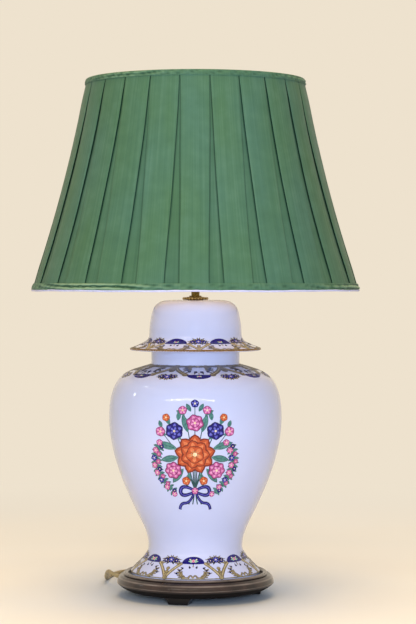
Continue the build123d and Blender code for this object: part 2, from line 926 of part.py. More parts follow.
def make_relief():
    """Tapered rubber sleeve where the flex leaves the stand."""
    bore = flex_radius + running_clearance / 2
    sleeve = turned_polygon(
        (bore, 0),
        (relief_radius, 0),
        (relief_radius, relief_seat_length),
        (relief_tip_radius, relief_length),
        (bore, relief_length),
    )
    return Plane(flex_point(relief_place), z_dir=lead_heading) * sleeve


def coil_route():
    """Corner points of the coil, one each half turn, with the heading at each."""
    centre_x, centre_y = coil_centre
    stops = []
    radius = coil_radius
    for index in range(2 * coil_half_turns + 1):
        side = 1 if index % 2 == 0 else -1
        upper = index > coil_half_turns
        height = coil_rest_height + (coil_layer_step if upper else 0.0)
        stops.append((Vector(centre_x, centre_y + side * radius, height), Vector(side, 0, 0)))
        if index <= coil_half_turns:
            radius -= coil_pitch / 2
        elif index == coil_half_turns + 1:
            radius += coil_pitch
        else:
            radius += coil_pitch / 2
    return stops


def half_turn(first, second):
    """Two tangent arcs that join one coil stop to the next."""
    start, heading = first
    end, arriving = second
    reach = (end - start).length / 2
    middle = (start + end) * 0.5 + heading * reach
    opening = Edge.make_tangent_arc(start, heading, middle)
    closing = Edge.make_tangent_arc(middle, opening % 1, end)
    return [opening, closing]


def make_coil(stops):
    """One unbroken tube: a layer that winds in, a climb, and a layer that winds out, with straight ends."""
    start, start_heading = stops[0]
    end, end_heading = stops[-1]
    edges = [Line(start - start_heading * coil_end_run, start)]
    for first, second in zip(stops, stops[1:]):
        edges.extend(half_turn(first, second))
    edges.append(Line(end, end + end_heading * coil_end_run))
    path = Wire(edges)
    return tube_along(path, flex_radius), path


def free_stretch(name, points):
    """Tube along straight runs joined by tangent arcs."""
    corners = [Vector(*point) for point in points]
    radii = []
    for before, corner, after in zip(corners, corners[1:], corners[2:]):
        arrive = corner - before
        leave = after - corner
        turn = radians(arrive.get_angle(leave))
        radii.append(0.45 * min(arrive.length, leave.length) / tan(turn / 2))
    path = FilletPolyline(*corners, radius=radii)
    solid = tube_along(path, flex_radius)
    expected = pi * flex_radius ** 2 * path.length
    print(name, "bend radii", [round(radius, 1) for radius in radii], "length", round(path.length, 1),
          "volume share", round(solid.volume / expected, 4))
    return solid, path


def make_tie(stops):
    """Flat strap round all the strands on the near side of the coil."""
    radii = [coil_centre[1] - stop.Y for stop, _ in stops if stop.Y < coil_centre[1]]
    room = flex_radius + sliding_gap
    low = coil_centre[1] - max(radii) - room
    inner = min(radii)
    high = coil_centre[1] - inner + room + (tie_width / 2) ** 2 / (2 * inner)
    floor = coil_rest_height - room
    ceiling = coil_rest_height + coil_layer_step + room
    centre = Vector(coil_centre[0], (low + high) / 2, (floor + ceiling) / 2)
    window = Box(tie_width + 2, high - low, ceiling - floor)
    strap = Box(tie_width, high - low + 2 * tie_thickness, ceiling - floor + 2 * tie_thickness)
    return Pos(*centre) * (strap - window)


def coil_self_gap(path):
    """Smallest gap between strands of the coil, measured on points along its path."""
    count = 900
    spots = [path.position_at(index / (count - 1)) for index in range(count)]
    spacing = path.length / (count - 1)
    skip = int(coil_pitch * 4 / spacing)
    nearest = 1000.0
    for index, spot in enumerate(spots):
        for other in spots[index + skip:]:
            nearest = min(nearest, (other - spot).length)
    return nearest - 2 * flex_radius


# Plug

def make_plug(tip, heading):
    """Body, pins and fuse cover of a moulded plug lying on its back, with a tapered sleeve for the flex."""
    place = Plane(origin=(tip.X, tip.Y, 0), x_dir=(heading.X, heading.Y, 0), z_dir=(0, 0, 1))
    back = plug_sleeve_length
    front = plug_sleeve_length + plug_length
    half = plug_width / 2
    neck = plug_neck_width / 2
    shoulder = back + plug_shoulder
    nose = front - plug_nose
    outline = [
        Line((back, -neck), (back, neck)),
        Line((back, neck), (shoulder, half)),
        Line((shoulder, half), (nose, half)),
        ThreePointArc((nose, half), (front, 0), (nose, -half)),
        Line((nose, -half), (shoulder, -half)),
        Line((shoulder, -half), (back, -neck)),
    ]
    shell = extrude(make_face(outline), plug_thickness)
    shell = fillet(shell.edges().group_by(Axis.Z)[0], plug_edge_round)
    root = plug_sleeve_length + plug_sleeve_root
    sleeve = Plane(origin=(0, 0, tip.Z), z_dir=(1, 0, 0)) * turned_polygon(
        (0, 0), (flex_radius + plug_sleeve_wall, 0), (plug_sleeve_radius, root), (0, root)
    )
    top = plug_thickness
    blades = Part()
    for side in (-1, 1):
        place_of_pin = Pos(back + plug_pin_place, side * plug_pin_spread, top)
        blades += place_of_pin * upright_box(*plug_pin_size, plug_pin_length)
    blades += Pos(back + plug_earth_place, 0, top) * upright_box(*plug_earth_size, plug_earth_length)
    cover_place = Pos(back + fuse_cover_place, 0, top - fuse_cover_thickness)
    cover_length, cover_width = fuse_cover_size
    pocket = cover_place * upright_box(cover_length, cover_width, fuse_cover_thickness + cut_overrun)
    cover = cover_place * upright_box(
        cover_length - running_clearance, cover_width - running_clearance, fuse_cover_thickness
    )
    body = shell + sleeve - pocket
    return place * body, place * blades, place * cover


# Build every piece

coil_stops = coil_route()
coil_start = coil_stops[0][0] - coil_stops[0][1] * coil_end_run
coil_end = coil_stops[-1][0] + coil_stops[-1][1] * coil_end_run
lead_route = [lead_start, lead_start + lead_heading * lead_first_run]
lead_route += [Vector(*point) for point in lead_points]
lead_route += [coil_start - Vector(lead_last_run, 0, 0), coil_start]
tail_corner = coil_end + Vector(tail_first_run, 0, 0)
tail_heading = Vector(cos(radians(tail_turn)), sin(radians(tail_turn)), 0)
tail_end = tail_corner + tail_heading * tail_last_run

nodes = {
    "wooden_stand": make_stand(),
    "porcelain_jar": make_jar(),
    "porcelain_lid": make_lid(),
    "threaded_rod": make_rod(),
    "base_washer": make_base_washer(),
    "base_nut": make_base_nut(),
    "lid_washer": make_lid_washer(),
    "vase_cap": make_vase_cap(),
    "stem_tube": make_stem(),
    "lampholder_cap": make_holder_cap(),
    "lampholder_barrel": make_holder_barrel(),
    "lampholder_skirt": make_holder_skirt(),
    "terminal_block": make_block(),
    "contact_plungers": make_plungers(),
    "switch_bar": make_switch_bar(),
    "bulb_cap": make_bulb_cap(),
    "bulb_contacts": make_bulb_contacts(),
    "bulb_glass": make_bulb_glass(),
    "shade_ring": make_shade_ring(),
    "shade_carrier": make_carrier(),
    "shade_cover": make_cover(),
    "shade_lining": make_lining(),
    "shade_top_trim": make_trim(shade_top, -1, top_trim_height),
    "shade_bottom_trim": make_trim(shade_bottom, 1, bottom_trim_height),
    "inner_flex": make_inner_flex(),
    "strain_relief": make_relief(),
}
for number in range(foot_count):
    nodes["stand_foot_" + str(number + 1)] = make_foot(number)
nodes["shade_frame"] = make_frame()
nodes["shade_fitter"] = make_fitter(nodes["shade_frame"])
nodes["cord_lead"], lead_path = free_stretch("cord_lead", lead_route)
nodes["cord_coil"], coil_path = make_coil(coil_stops)
nodes["cord_tail"], tail_path = free_stretch("cord_tail", [coil_end, tail_corner, tail_end])
nodes["cord_tie"] = make_tie(coil_stops)
nodes["plug_body"], nodes["plug_pins"], nodes["plug_fuse_cover"] = make_plug(tail_end, tail_heading)

cord_length = lead_path.length + coil_path.length + tail_path.length
coil_share = nodes["cord_coil"].volume / (pi * flex_radius ** 2 * coil_path.length)
print("coil length", round(coil_path.length, 1), "volume share", round(coil_share, 4),
      "self gap", round(coil_self_gap(coil_path), 2))
print("flex length outside the lamp", round(cord_length, 1))
print("heights", "lid top", lid_top, "ledge", ledge_top, "shade", round(shade_bottom, 2), round(shade_top, 2))

os.makedirs("parts", exist_ok=True)
for name, shape in nodes.items():
    export_step(shape, "parts/" + name + ".step")
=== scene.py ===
"""Looks of a porcelain jar lamp: painted porcelain, a turned stand, brass fittings and a pleated shade."""

import logging
import math
from bisect import bisect_right
from collections.abc import Callable, Mapping
from dataclasses import dataclass, field
from enum import Enum

import bmesh
import bpy
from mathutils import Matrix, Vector
from mathutils.bvhtree import BVHTree

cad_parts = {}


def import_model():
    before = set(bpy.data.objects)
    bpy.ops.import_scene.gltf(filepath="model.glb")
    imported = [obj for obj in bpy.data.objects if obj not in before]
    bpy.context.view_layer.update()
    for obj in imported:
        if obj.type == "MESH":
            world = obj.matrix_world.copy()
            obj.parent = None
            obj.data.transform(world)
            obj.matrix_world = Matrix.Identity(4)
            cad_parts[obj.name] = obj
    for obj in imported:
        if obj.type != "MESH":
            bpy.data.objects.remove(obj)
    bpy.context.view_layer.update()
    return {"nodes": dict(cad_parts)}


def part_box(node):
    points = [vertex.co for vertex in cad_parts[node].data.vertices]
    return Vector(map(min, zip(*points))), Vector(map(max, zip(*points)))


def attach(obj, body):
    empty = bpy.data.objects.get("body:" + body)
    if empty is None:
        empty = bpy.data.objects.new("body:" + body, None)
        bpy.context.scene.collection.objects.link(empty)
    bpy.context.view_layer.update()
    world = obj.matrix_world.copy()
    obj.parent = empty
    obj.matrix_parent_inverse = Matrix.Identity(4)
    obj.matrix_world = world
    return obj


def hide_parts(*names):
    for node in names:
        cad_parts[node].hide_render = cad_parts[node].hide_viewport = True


MM = 0.001
TURN = 2 * math.pi
FRONT = -math.pi / 2
SIDES = (-1, 1)
FOLD_SHADE_AND_HIGHLIGHT = "fold"
SURFACE_OUTPUTS = {"Colour": "Color", "Roughness": "Float", "Height": "Float"}
SILK_COLOURS = ("Colour", "Drift", "Streak", "Deep", "Fold", "Crest")
Point2 = tuple[float, float]
Point3 = tuple[float, float, float]
Colour = tuple[int, int, int]
Face = tuple[int, ...]
Material = bpy.types.Material
Mesh = bpy.types.Mesh
NodeTree = bpy.types.NodeTree
Piece = bpy.types.Object
Socket = bpy.types.NodeSocket
log = logging.getLogger("porcelain_lamp")


def paint_colour(red: int, green: int, blue: int) -> tuple[float, float, float, float]:
    """Linear colour from the 0 to 255 values that a screen shows.

    Args:
        red: Screen value of red.
        green: Screen value of green.
        blue: Screen value of blue.

    Returns:
        Red, green, blue and a full alpha, as a shader takes them.
    """
    shares = [value / 255 for value in (red, green, blue)]
    linear = [share / 12.92 if share <= 0.04045 else ((share + 0.055) / 1.055) ** 2.4 for share in shares]
    return (linear[0], linear[1], linear[2], 1.0)


def ease(low: float, high: float, value: float) -> float:
    """Smooth step from 0 at low to 1 at high."""
    share = min(max((value - low) / (high - low), 0.0), 1.0)
    return share * share * (3 - 2 * share)


def evenly(start: float, end: float, steps: int) -> list[float]:
    """Values from start to end in even steps."""
    return [start + (end - start) * step / steps for step in range(steps + 1)]


def circle(corners: int, radius: float, x: float = 0.0, y: float = 0.0) -> list[Point2]:
    """Corners of a round outline about a point."""
    angles = [TURN * corner / corners for corner in range(corners)]
    return [(x + radius * math.cos(angle), y + radius * math.sin(angle)) for angle in angles]


# Node trees

class Nodes:
    """A node tree, with short calls that add nodes and feed their inputs."""

    def __init__(self, tree: NodeTree) -> None:
        """Keeps the tree that the calls work on."""
        self.tree = tree

    def feed(self, socket: Socket, value: object) -> None:
        """Links an output to an input, or sets the input's own value.

        Args:
            socket: The input.
            value: Output socket or plain value.
        """
        if isinstance(value, Socket):
            self.tree.links.new(value, socket)
        else:
            socket.default_value = value

    def add(self, kind: str, inputs: Mapping[str | int, object] | None = None,
            **settings: object) -> bpy.types.Node:
        """Adds one node.

        Args:
            kind: Blender's type name of the node.
            inputs: Values or output sockets, by the input's name or number.
            **settings: Properties of the node itself.

        Returns:
            The new node.
        """
        node = self.tree.nodes.new(kind)
        for name, value in settings.items():
            setattr(node, name, value)
        for key, value in (inputs or {}).items():
            self.feed(node.inputs[key], value)
        return node

    def math(self, operation: str, first: object, second: object = 0.0) -> Socket:
        """Output of one arithmetic node."""
        return self.add("ShaderNodeMath", {0: first, 1: second}, operation=operation).outputs[0]

    def vector(self, operation: str, first: object, second: object = (0, 0, 0)) -> Socket:
        """Output of one vector arithmetic node."""
        return self.add("ShaderNodeVectorMath", {0: first, 1: second}, operation=operation).outputs[0]

    def scale(self, vector: Socket, factor: object) -> Socket:
        """A vector times a number."""
        return self.add("ShaderNodeVectorMath", {0: vector, "Scale": factor}, operation="SCALE").outputs[0]

    def weigh(self, *parts: tuple[Socket, float]) -> Socket:
        """Sum of values, each times its weight.

        Args:
            *parts: Each value with its weight.

        Returns:
            The sum.
        """
        terms = [self.math("MULTIPLY", value, weight) for value, weight in parts]
        total = terms[0]
        for term in terms[1:]:
            total = self.math("ADD", total, term)
        return total

    def mix(self, share: object, first: object, second: object) -> Socket:
        """Colour between two colours."""
        return self.add("ShaderNodeMix", {0: share, 6: first, 7: second}, data_type="RGBA").outputs[2]

    def noise(self, vector: object, scale: object, detail: float = 2.0) -> Socket:
        """Value of a noise pattern, from 0 to 1."""
        return self.add("ShaderNodeTexNoise", {"Vector": vector, "Scale": scale, "Detail": detail}).outputs[0]

    def span(self, value: object, low: object, high: object, start: object = 0.3,
             end: object = 0.7) -> Socket:
        """Value spread over low..high, which it reaches at start and end."""
        return self.add("ShaderNodeMapRange", {0: value, 1: start, 2: end, 3: low, 4: high}).outputs[0]

    def place(self) -> Socket:
        """Place on the surface in the lamp's frame."""
        return self.add("ShaderNodeTexCoord").outputs["Object"]

    def height(self, place: Socket) -> Socket:
        """Height of a place."""
        return self.add("ShaderNodeSeparateXYZ", {0: place}).outputs[2]

    def outward(self, place: Socket) -> Socket:
        """Level direction from the lamp's axis to a place."""
        return self.vector("NORMALIZE", self.vector("MULTIPLY", place, (1, 1, 0)))

    def round_noise(self, place: Socket, around: object, along: float, detail: float) -> Socket:
        """Noise with its own rates round the lamp's axis and up its height.

        Args:
            place: Place on the surface.
            around: Rate round the axis.
            along: Rate up the height.
            detail: Detail of the noise.

        Returns:
            The noise, from 0 to 1.
        """
        turned = self.scale(self.outward(place), around)
        climb = self.vector("MULTIPLY", place, (0, 0, along))
        return self.noise(self.vector("ADD", turned, climb), 1.0, detail)


class Group(Nodes):
    """A node group with named inputs and outputs."""

    def __init__(self, name: str, kind: str, inputs: dict[str, str], outputs: dict[str, str]) -> None:
        """Makes the group and its sockets.

        Args:
            name: Name of the group.
            kind: ShaderNodeTree or GeometryNodeTree.
            inputs: Socket type of each input, by name.
            outputs: Socket type of each output, by name.
        """
        super().__init__(bpy.data.node_groups.new(name, kind))
        for way, sockets in (("INPUT", inputs), ("OUTPUT", outputs)):
            for socket, kind_of in sockets.items():
                self.tree.interface.new_socket(socket, in_out=way, socket_type="NodeSocket" + kind_of)
        self.inside = self.add("NodeGroupInput").outputs
        self.outside = self.add("NodeGroupOutput").inputs

    def deliver(self, **results: Socket) -> NodeTree:
        """Links the results to the group's outputs.

        Args:
            **results: Sockets by the output's name.

        Returns:
            The finished tree.
        """
        for name, socket in results.items():
            self.tree.links.new(socket, self.outside[name])
        return self.tree

    def identifier(self, name: str) -> str:
        """Identifier of an input, by which a modifier sets it.

        Args:
            name: Name of the input.

        Returns:
            The identifier.
        """
        for item in self.tree.interface.items_tree:
            if item.name == name and item.in_out == "INPUT":
                return item.identifier
        raise KeyError(name)


def mottle_group() -> NodeTree:
    """Soft variation of colour and gloss, with a fine unevenness of the surface.

    Returns:
        The shader group.
    """
    grit_rate = 7.0
    inputs = {"Scale": "Float", "Light": "Color", "Dark": "Color", "Smooth": "Float", "Rough": "Float"}
    group = Group("soft_mottle", "ShaderNodeTree", inputs, SURFACE_OUTPUTS)
    taken = group.inside
    place = group.place()
    patch = group.noise(place, taken["Scale"], 3.0)
    grit = group.noise(place, group.math("MULTIPLY", taken["Scale"], grit_rate))
    colour = group.mix(group.span(patch, 0.0, 1.0), taken["Dark"], taken["Light"])
    rough = group.span(grit, taken["Smooth"], taken["Rough"])
    return group.deliver(Colour=colour, Roughness=rough, Height=grit)


def silk_group() -> NodeTree:
    """Cloth on a cone: drifts of hue, streaks up the slope, fine threads, painted shade in the folds and
    painted highlights on the ridges of wrinkles.

    Returns:
        The shader group.
    """
    thread_rate = 4.0
    weft_rate = 1400
    inputs = dict.fromkeys(SILK_COLOURS, "Color") | {"Streaks": "Float", "Contrast": "Float"}
    group = Group("slubbed_silk", "ShaderNodeTree", inputs, SURFACE_OUTPUTS)
    taken = group.inside
    place = group.place()
    drift = group.span(group.round_noise(place, 4.0, 7.0, 2.0), 0.0, 1.0)
    streak = group.round_noise(place, taken["Streaks"], 3.0, 3.0)
    thread = group.round_noise(place, group.math("MULTIPLY", taken["Streaks"], thread_rate), 9.0, 2.0)
    slub = group.round_noise(place, 9.0, 60.0, 4.0)
    weft = group.noise(group.vector("MULTIPLY", place, (0, 0, weft_rate)), 1.0, 1.0)
    lines = group.weigh((streak, 0.4), (thread, 0.3), (slub, 0.3))
    light = group.math("MULTIPLY", group.span(lines, 0.0, 1.0, 0.5, 0.68), taken["Contrast"])
    dark = group.math("MULTIPLY", group.span(lines, 1.0, 0.0, 0.32, 0.5), taken["Contrast"])
    base = group.mix(drift, taken["Colour"], taken["Drift"])
    streaked = group.mix(dark, group.mix(light, base, taken["Streak"]), taken["Deep"])
    # Painted shade and highlight: a mesh attribute darkens the cloth towards the fold shade colour in pleat
    # gaps and wrinkle valleys, and lightens it towards the highlight colour on wrinkle ridges.
    fold = group.add("ShaderNodeAttribute", attribute_name=FOLD_SHADE_AND_HIGHLIGHT).outputs["Fac"]
    highlighted_colour = group.mix(group.span(fold, 1.0, 0.0, -1.0, 0.0), streaked, taken["Crest"])
    colour = group.mix(group.math("MAXIMUM", fold, 0.0), highlighted_colour, taken["Fold"])
    height = group.math("ADD", lines, group.math("MULTIPLY", weft, 0.25))
    return group.deliver(Colour=colour, Roughness=group.span(lines, 0.62, 0.46), Height=height)


def brush_group() -> NodeTree:
    """Hand-laid colour that pools and thins.

    Returns:
        The shader group.
    """
    inputs = {"Colour": "Color", "Deep": "Color", "Scale": "Float"}
    group = Group("brushed_colour", "ShaderNodeTree", inputs, {"Colour": "Color", "Height": "Float"})
    pool = group.noise(group.place(), group.inside["Scale"])
    colour = group.mix(group.span(pool, 0.0, 1.0), group.inside["Colour"], group.inside["Deep"])
    return group.deliver(Colour=colour, Height=pool)


# Finishes

class Palette:
    """Shared shader groups, each built once, and the materials made from them."""

    def __init__(self) -> None:
        """Builds the groups."""
        self.mottle = mottle_group()
        self.silk = silk_group()
        self.brush = brush_group()
        self.made: dict[Enum, Material] = {}

    def material(self, choice: Enum) -> Material:
        """Material of a finish or a paint, made on its first use.

        Args:
            choice: Member whose value is a finish.

        Returns:
            The material.
        """
        if choice not in self.made:
            self.made[choice] = choice.value.material(self)
        return self.made[choice]


class Surface(Nodes):
    """One material with its shader, and the calls that dress it."""

    def __init__(self, name: str, **constants: object) -> None:
        """Makes the material.

        Args:
            name: Name of the material.
            **constants: Values of the shader's own sockets, with _ for a space.
        """
        self.material = bpy.data.materials.new(name)
        self.material.use_nodes = True
        super().__init__(self.material.node_tree)
        self.shader = self.tree.nodes["Principled BSDF"]
        for key, value in constants.items():
            self.shader.inputs[key.replace("_", " ")].default_value = value

    def group(self, tree: NodeTree, **values: object) -> Mapping[str, Socket]:
        """Outputs of a shared group, placed with its inputs set by name."""
        return self.add("ShaderNodeGroup", values, node_tree=tree).outputs

    def wear(self, looks: Mapping[str, Socket], bump: float, depth: float) -> Material:
        """Feeds the shader.

        Args:
            looks: Colour and Height by name, and Roughness where it varies.
            bump: Strength of the bump.
            depth: Height of the bump in metres.

        Returns:
            The finished material.
        """
        shader = self.shader.inputs
        self.feed(shader["Base Color"], looks["Colour"])
        if "Roughness" in looks:
            self.feed(shader["Roughness"], looks["Roughness"])
        inputs = {"Strength": bump, "Distance": depth, "Height": looks["Height"]}
        self.feed(shader["Normal"], self.add("ShaderNodeBump", inputs).outputs[0])
        return self.material


@dataclass(frozen=True)
class MottledFinish:
    """Glaze, metal, plastic or rubber with a soft unevenness."""

    name: str
    light: Colour
    dark: Colour
    scale: float = 20.0
    smooth: float = 0.3
    rough: float = 0.45
    metallic: float = 0.0
    coat: float = 0.0
    coat_rough: float = 0.04
    bump: float = 0.1
    depth: float = 0.0002

    def material(self, palette: Palette) -> Material:
        """Builds the material from the shared mottle.

        Args:
            palette: Shared shader groups.

        Returns:
            The material.
        """
        surface = Surface(
            self.name, Metallic=self.metallic, Coat_Weight=self.coat, Coat_Roughness=self.coat_rough
        )
        looks = surface.group(
            palette.mottle, Scale=self.scale, Light=paint_colour(*self.light), Dark=paint_colour(*self.dark),
            Smooth=self.smooth, Rough=self.rough,
        )
        return surface.wear(looks, self.bump, self.depth)


@dataclass(frozen=True)
class SilkFinish:
    """Shade cloth with streaks that run up the slope."""

    name: str
    colour: Colour
    drift: Colour
    streak: Colour
    deep: Colour
    # The fold colour is the painted shade deep in the folds; the next is the painted highlight on the ridges.
    fold: Colour
    crest: Colour = (150, 178, 146)
    streaks: float = 60.0
    contrast: float = 0.5
    sheen: float = 0.03
    sheen_rough: float = 0.45
    specular: float = 0.12
    bump: float = 0.35
    depth: float = 0.0005

    def material(self, palette: Palette) -> Material:
        """Builds the material from the shared silk.

        Args:
            palette: Shared shader groups.

        Returns:
            The material.
        """
        surface = Surface(
            self.name, Sheen_Weight=self.sheen, Sheen_Roughness=self.sheen_rough,
            Specular_IOR_Level=self.specular,
        )
        looks = surface.group(
            palette.silk, Colour=paint_colour(*self.colour), Drift=paint_colour(*self.drift),
            Streak=paint_colour(*self.streak), Deep=paint_colour(*self.deep),
            Fold=paint_colour(*self.fold), Crest=paint_colour(*self.crest), Streaks=self.streaks,
            Contrast=self.contrast,
        )
        return surface.wear(looks, self.bump, self.depth)


@dataclass(frozen=True)
class WoodFinish:
    """Dark polished hardwood, with its grain across the stand, painted highlights along the crests of the
    mouldings, and painted shade on the underside and the feet.

    The painted highlights are given as the height, reach and strength of each crest. All heights are in
    metres.
    """

    name: str
    brown: Colour
    dark: Colour
    # Colour of the painted highlights along the crests.
    painted_highlight: Colour
    # Colour of the painted shade on the underside and the feet.
    under: Colour
    crests: tuple[Point3, ...] = ((0.0336, 0.0016, 0.75), (0.0274, 0.0014, 0.75), (0.0206, 0.0008, 0.45))
    under_top: float = 0.0205
    under_low: float = 0.0165
    foot_top: float = 0.0088
    foot_blend: float = 0.0005
    figure_rates: Point3 = (14, 90, 60)
    pore_rates: Point3 = (90, 1500, 700)
    polish_and_highlight_rate: float = 35.0
    coat: float = 0.45
    coat_rough: float = 0.12
    specular: float = 0.25
    bump: float = 0.18
    depth: float = 0.0004

    def material(self, palette: Palette) -> Material:
        """Builds the grain, the pores, the painted highlights on the crests, the painted shade underneath and
        the uneven polish.

        Args:
            palette: Shared shader groups, of which this finish needs none.

        Returns:
            The material.
        """
        surface = Surface(self.name, Coat_Roughness=self.coat_rough, Specular_IOR_Level=self.specular)
        place = surface.place()
        height = surface.height(place)
        figure = surface.noise(surface.vector("MULTIPLY", place, self.figure_rates), 1.0, 4.0)
        pores = surface.noise(surface.vector("MULTIPLY", place, self.pore_rates), 1.0)
        grain = surface.weigh((figure, 0.7), (pores, 0.3))
        share = surface.span(grain, 0.0, 1.0, 0.35, 0.65)
        colour = surface.mix(share, paint_colour(*self.dark), paint_colour(*self.brown))
        polish_and_highlight_noise = surface.noise(place, self.polish_and_highlight_rate, 3.0)
        highlight_breakup = surface.span(polish_and_highlight_noise, 0.35, 1.0)
        # Painted highlights: lighter bands on the bead's crest, the ovolo's shoulder and its lower edge,
        # broken up by noise.
        for level, reach, strength in self.crests:
            away = surface.math("ABSOLUTE", surface.math("SUBTRACT", height, level))
            near = surface.math("MULTIPLY", surface.span(away, strength, 0.0, 0.0, reach), highlight_breakup)
            colour = surface.mix(near, colour, paint_colour(*self.painted_highlight))
        # Painted shade: below the ovolo the wood and the feet turn almost black; the underside above the feet
        # also loses its coat and turns matt.
        below = surface.span(height, 1.0, 0.0, self.under_low, self.under_top)
        colour = surface.mix(below, colour, paint_colour(*self.under))
        over_feet = surface.span(height, 0.0, 1.0, self.foot_top, self.foot_top + self.foot_blend)
        dull = surface.math("MULTIPLY", below, over_feet)
        rough = surface.math("MAXIMUM", surface.span(polish_and_highlight_noise, 0.26, 0.42), dull)
        surface.feed(surface.shader.inputs["Coat Weight"], surface.span(dull, self.coat, 0.0, 0.0, 1.0))
        return surface.wear({"Colour": colour, "Roughness": rough, "Height": grain}, self.bump, self.depth)


@dataclass(frozen=True)
class PaintFinish:
    """Enamel or gilding that is brushed on the glaze."""

    name: str
    colour: Colour
    deep: Colour
    rough: float = 0.18
    metallic: float = 0.0
    coat: float = 0.1
    specular: float = 0.35
    scale: float = 260.0
    bump: float = 0.15
    depth: float = 0.0003

    def material(self, palette: Palette) -> Material:
        """Builds the material from the shared brushwork.

        Args:
            palette: Shared shader groups.

        Returns:
            The material.
        """
        surface = Surface(
            self.name, Roughness=self.rough, Metallic=self.metallic, Coat_Weight=self.coat,
            Specular_IOR_Level=self.specular,
        )
        looks = surface.group(
            palette.brush, Colour=paint_colour(*self.colour), Deep=paint_colour(*self.deep), Scale=self.scale
        )
        return surface.wear(looks, self.bump, self.depth)


class Paint(Enum):
    """Colours that are painted on the porcelain."""

    COBALT = PaintFinish("paint_cobalt", (26, 21, 124), (13, 8, 84), 0.15)
    NAVY = PaintFinish("paint_navy", (28, 26, 82), (16, 14, 54), 0.2)
    VIOLET = PaintFinish("paint_violet", (112, 112, 200), (84, 82, 180))
    UMBER = PaintFinish("paint_umber", (84, 73, 58), (50, 43, 40), 0.3)
    GILT = PaintFinish("paint_gilt", (174, 158, 116), (136, 120, 84), 0.4, 0.25)
    # A darker copy of the gilt for the shoulder's straps, standing in for the shade that falls there under
    # the lid.
    TARNISH = PaintFinish("paint_tarnish", (126, 111, 84), (94, 82, 64), 0.4, 0.25)
    BRONZE = PaintFinish("paint_bronze", (158, 122, 74), (112, 78, 42), 0.35, 0.25)
    ROSE = PaintFinish("paint_rose", (200, 96, 158), (168, 62, 122))
    BLUSH = PaintFinish("paint_blush", (230, 160, 196), (214, 130, 178))
    WINE = PaintFinish("paint_wine", (120, 36, 86), (90, 22, 66), 0.2)
    CORAL = PaintFinish("paint_coral", (200, 88, 48), (178, 68, 34))
    APRICOT = PaintFinish("paint_apricot", (222, 132, 84), (208, 108, 62))
    RUST = PaintFinish("paint_rust", (136, 50, 32), (106, 38, 28), 0.2)
    TEAL = PaintFinish("paint_teal", (86, 140, 130), (56, 108, 104))
    SAGE = PaintFinish("paint_sage", (158, 196, 168), (128, 172, 148))
    PINE = PaintFinish("paint_pine", (44, 84, 84), (28, 62, 66), 0.2)
    CREAM = PaintFinish("paint_cream", (236, 222, 184), (216, 194, 140), 0.2)


class Bloom(Enum):
    """Kinds of painted flower, as the colours of petal, outline, light and heart."""

    CORAL = (Paint.CORAL, Paint.RUST, Paint.APRICOT, Paint.CREAM)
    ROSE = (Paint.ROSE, Paint.WINE, Paint.BLUSH, Paint.CREAM)
    BLUE = (Paint.COBALT, Paint.NAVY, Paint.VIOLET, Paint.CREAM)


class Finish(Enum):
    """Finishes of the lamp's pieces."""

    PORCELAIN = MottledFinish(
        "white_glaze", (203, 206, 235), (196, 200, 231), 9.0, 0.07, 0.13, coat=0.2, bump=0.05, depth=0.0004
    )
    WOOD = WoodFinish("dark_hardwood", (58, 42, 37), (26, 19, 20), (160, 144, 132), (14, 11, 13))
    BRASS = MottledFinish("aged_brass", (150, 128, 70), (92, 72, 32), 90.0, 0.2, 0.42, 1.0, bump=0.08)
    BRIGHT_BRASS = MottledFinish(
        "bright_brass", (216, 196, 140), (150, 124, 72), 160.0, 0.14, 0.3, 1.0, bump=0.06
    )
    STEEL = MottledFinish("zinc_steel", (178, 180, 182), (136, 138, 142), 90.0, 0.28, 0.5, 1.0)
    RUBBER = MottledFinish("black_rubber", (44, 42, 42), (28, 27, 28), 60.0, 0.55, 0.75, bump=0.2)
    WHITE_PLASTIC = MottledFinish("white_moulding", (232, 230, 224), (220, 217, 208), 60.0, 0.3, 0.42)
    DARK_PLASTIC = MottledFinish("dark_moulding", (62, 46, 38), (40, 30, 26), 60.0, 0.28, 0.42)
    PLUG = MottledFinish("plug_moulding", (40, 40, 42), (28, 28, 30), 80.0, 0.34, 0.5, bump=0.15)
    OPAL = MottledFinish("opal_glass", (246, 244, 238), (236, 233, 226), 30.0, 0.1, 0.2, coat=0.5, bump=0.03)
    WIRE = MottledFinish("painted_wire", (236, 232, 222), (216, 210, 198), 120.0, 0.35, 0.5, bump=0.2)
    FLEX = MottledFinish("gold_flex", (172, 152, 108), (134, 116, 76), 110.0, 0.3, 0.48, bump=0.25)
    # The fifth colour is the painted shade in the pleats' folds.
    SILK = SilkFinish("green_silk", (72, 108, 90), (71, 106, 78), (91, 125, 105), (55, 88, 70), (12, 42, 32))
    LINING = SilkFinish(
        "cream_lining", (244, 240, 234), (242, 236, 226), (250, 248, 246), (228, 224, 218), (160, 150, 140),
        streaks=40.0, contrast=0.4, depth=0.0002,
    )
    HEM = SilkFinish(
        "pale_hem", (198, 198, 232), (194, 194, 226), (212, 212, 240), (184, 184, 218), (150, 150, 180),
        streaks=40.0, contrast=0.3, depth=0.0002,
    )


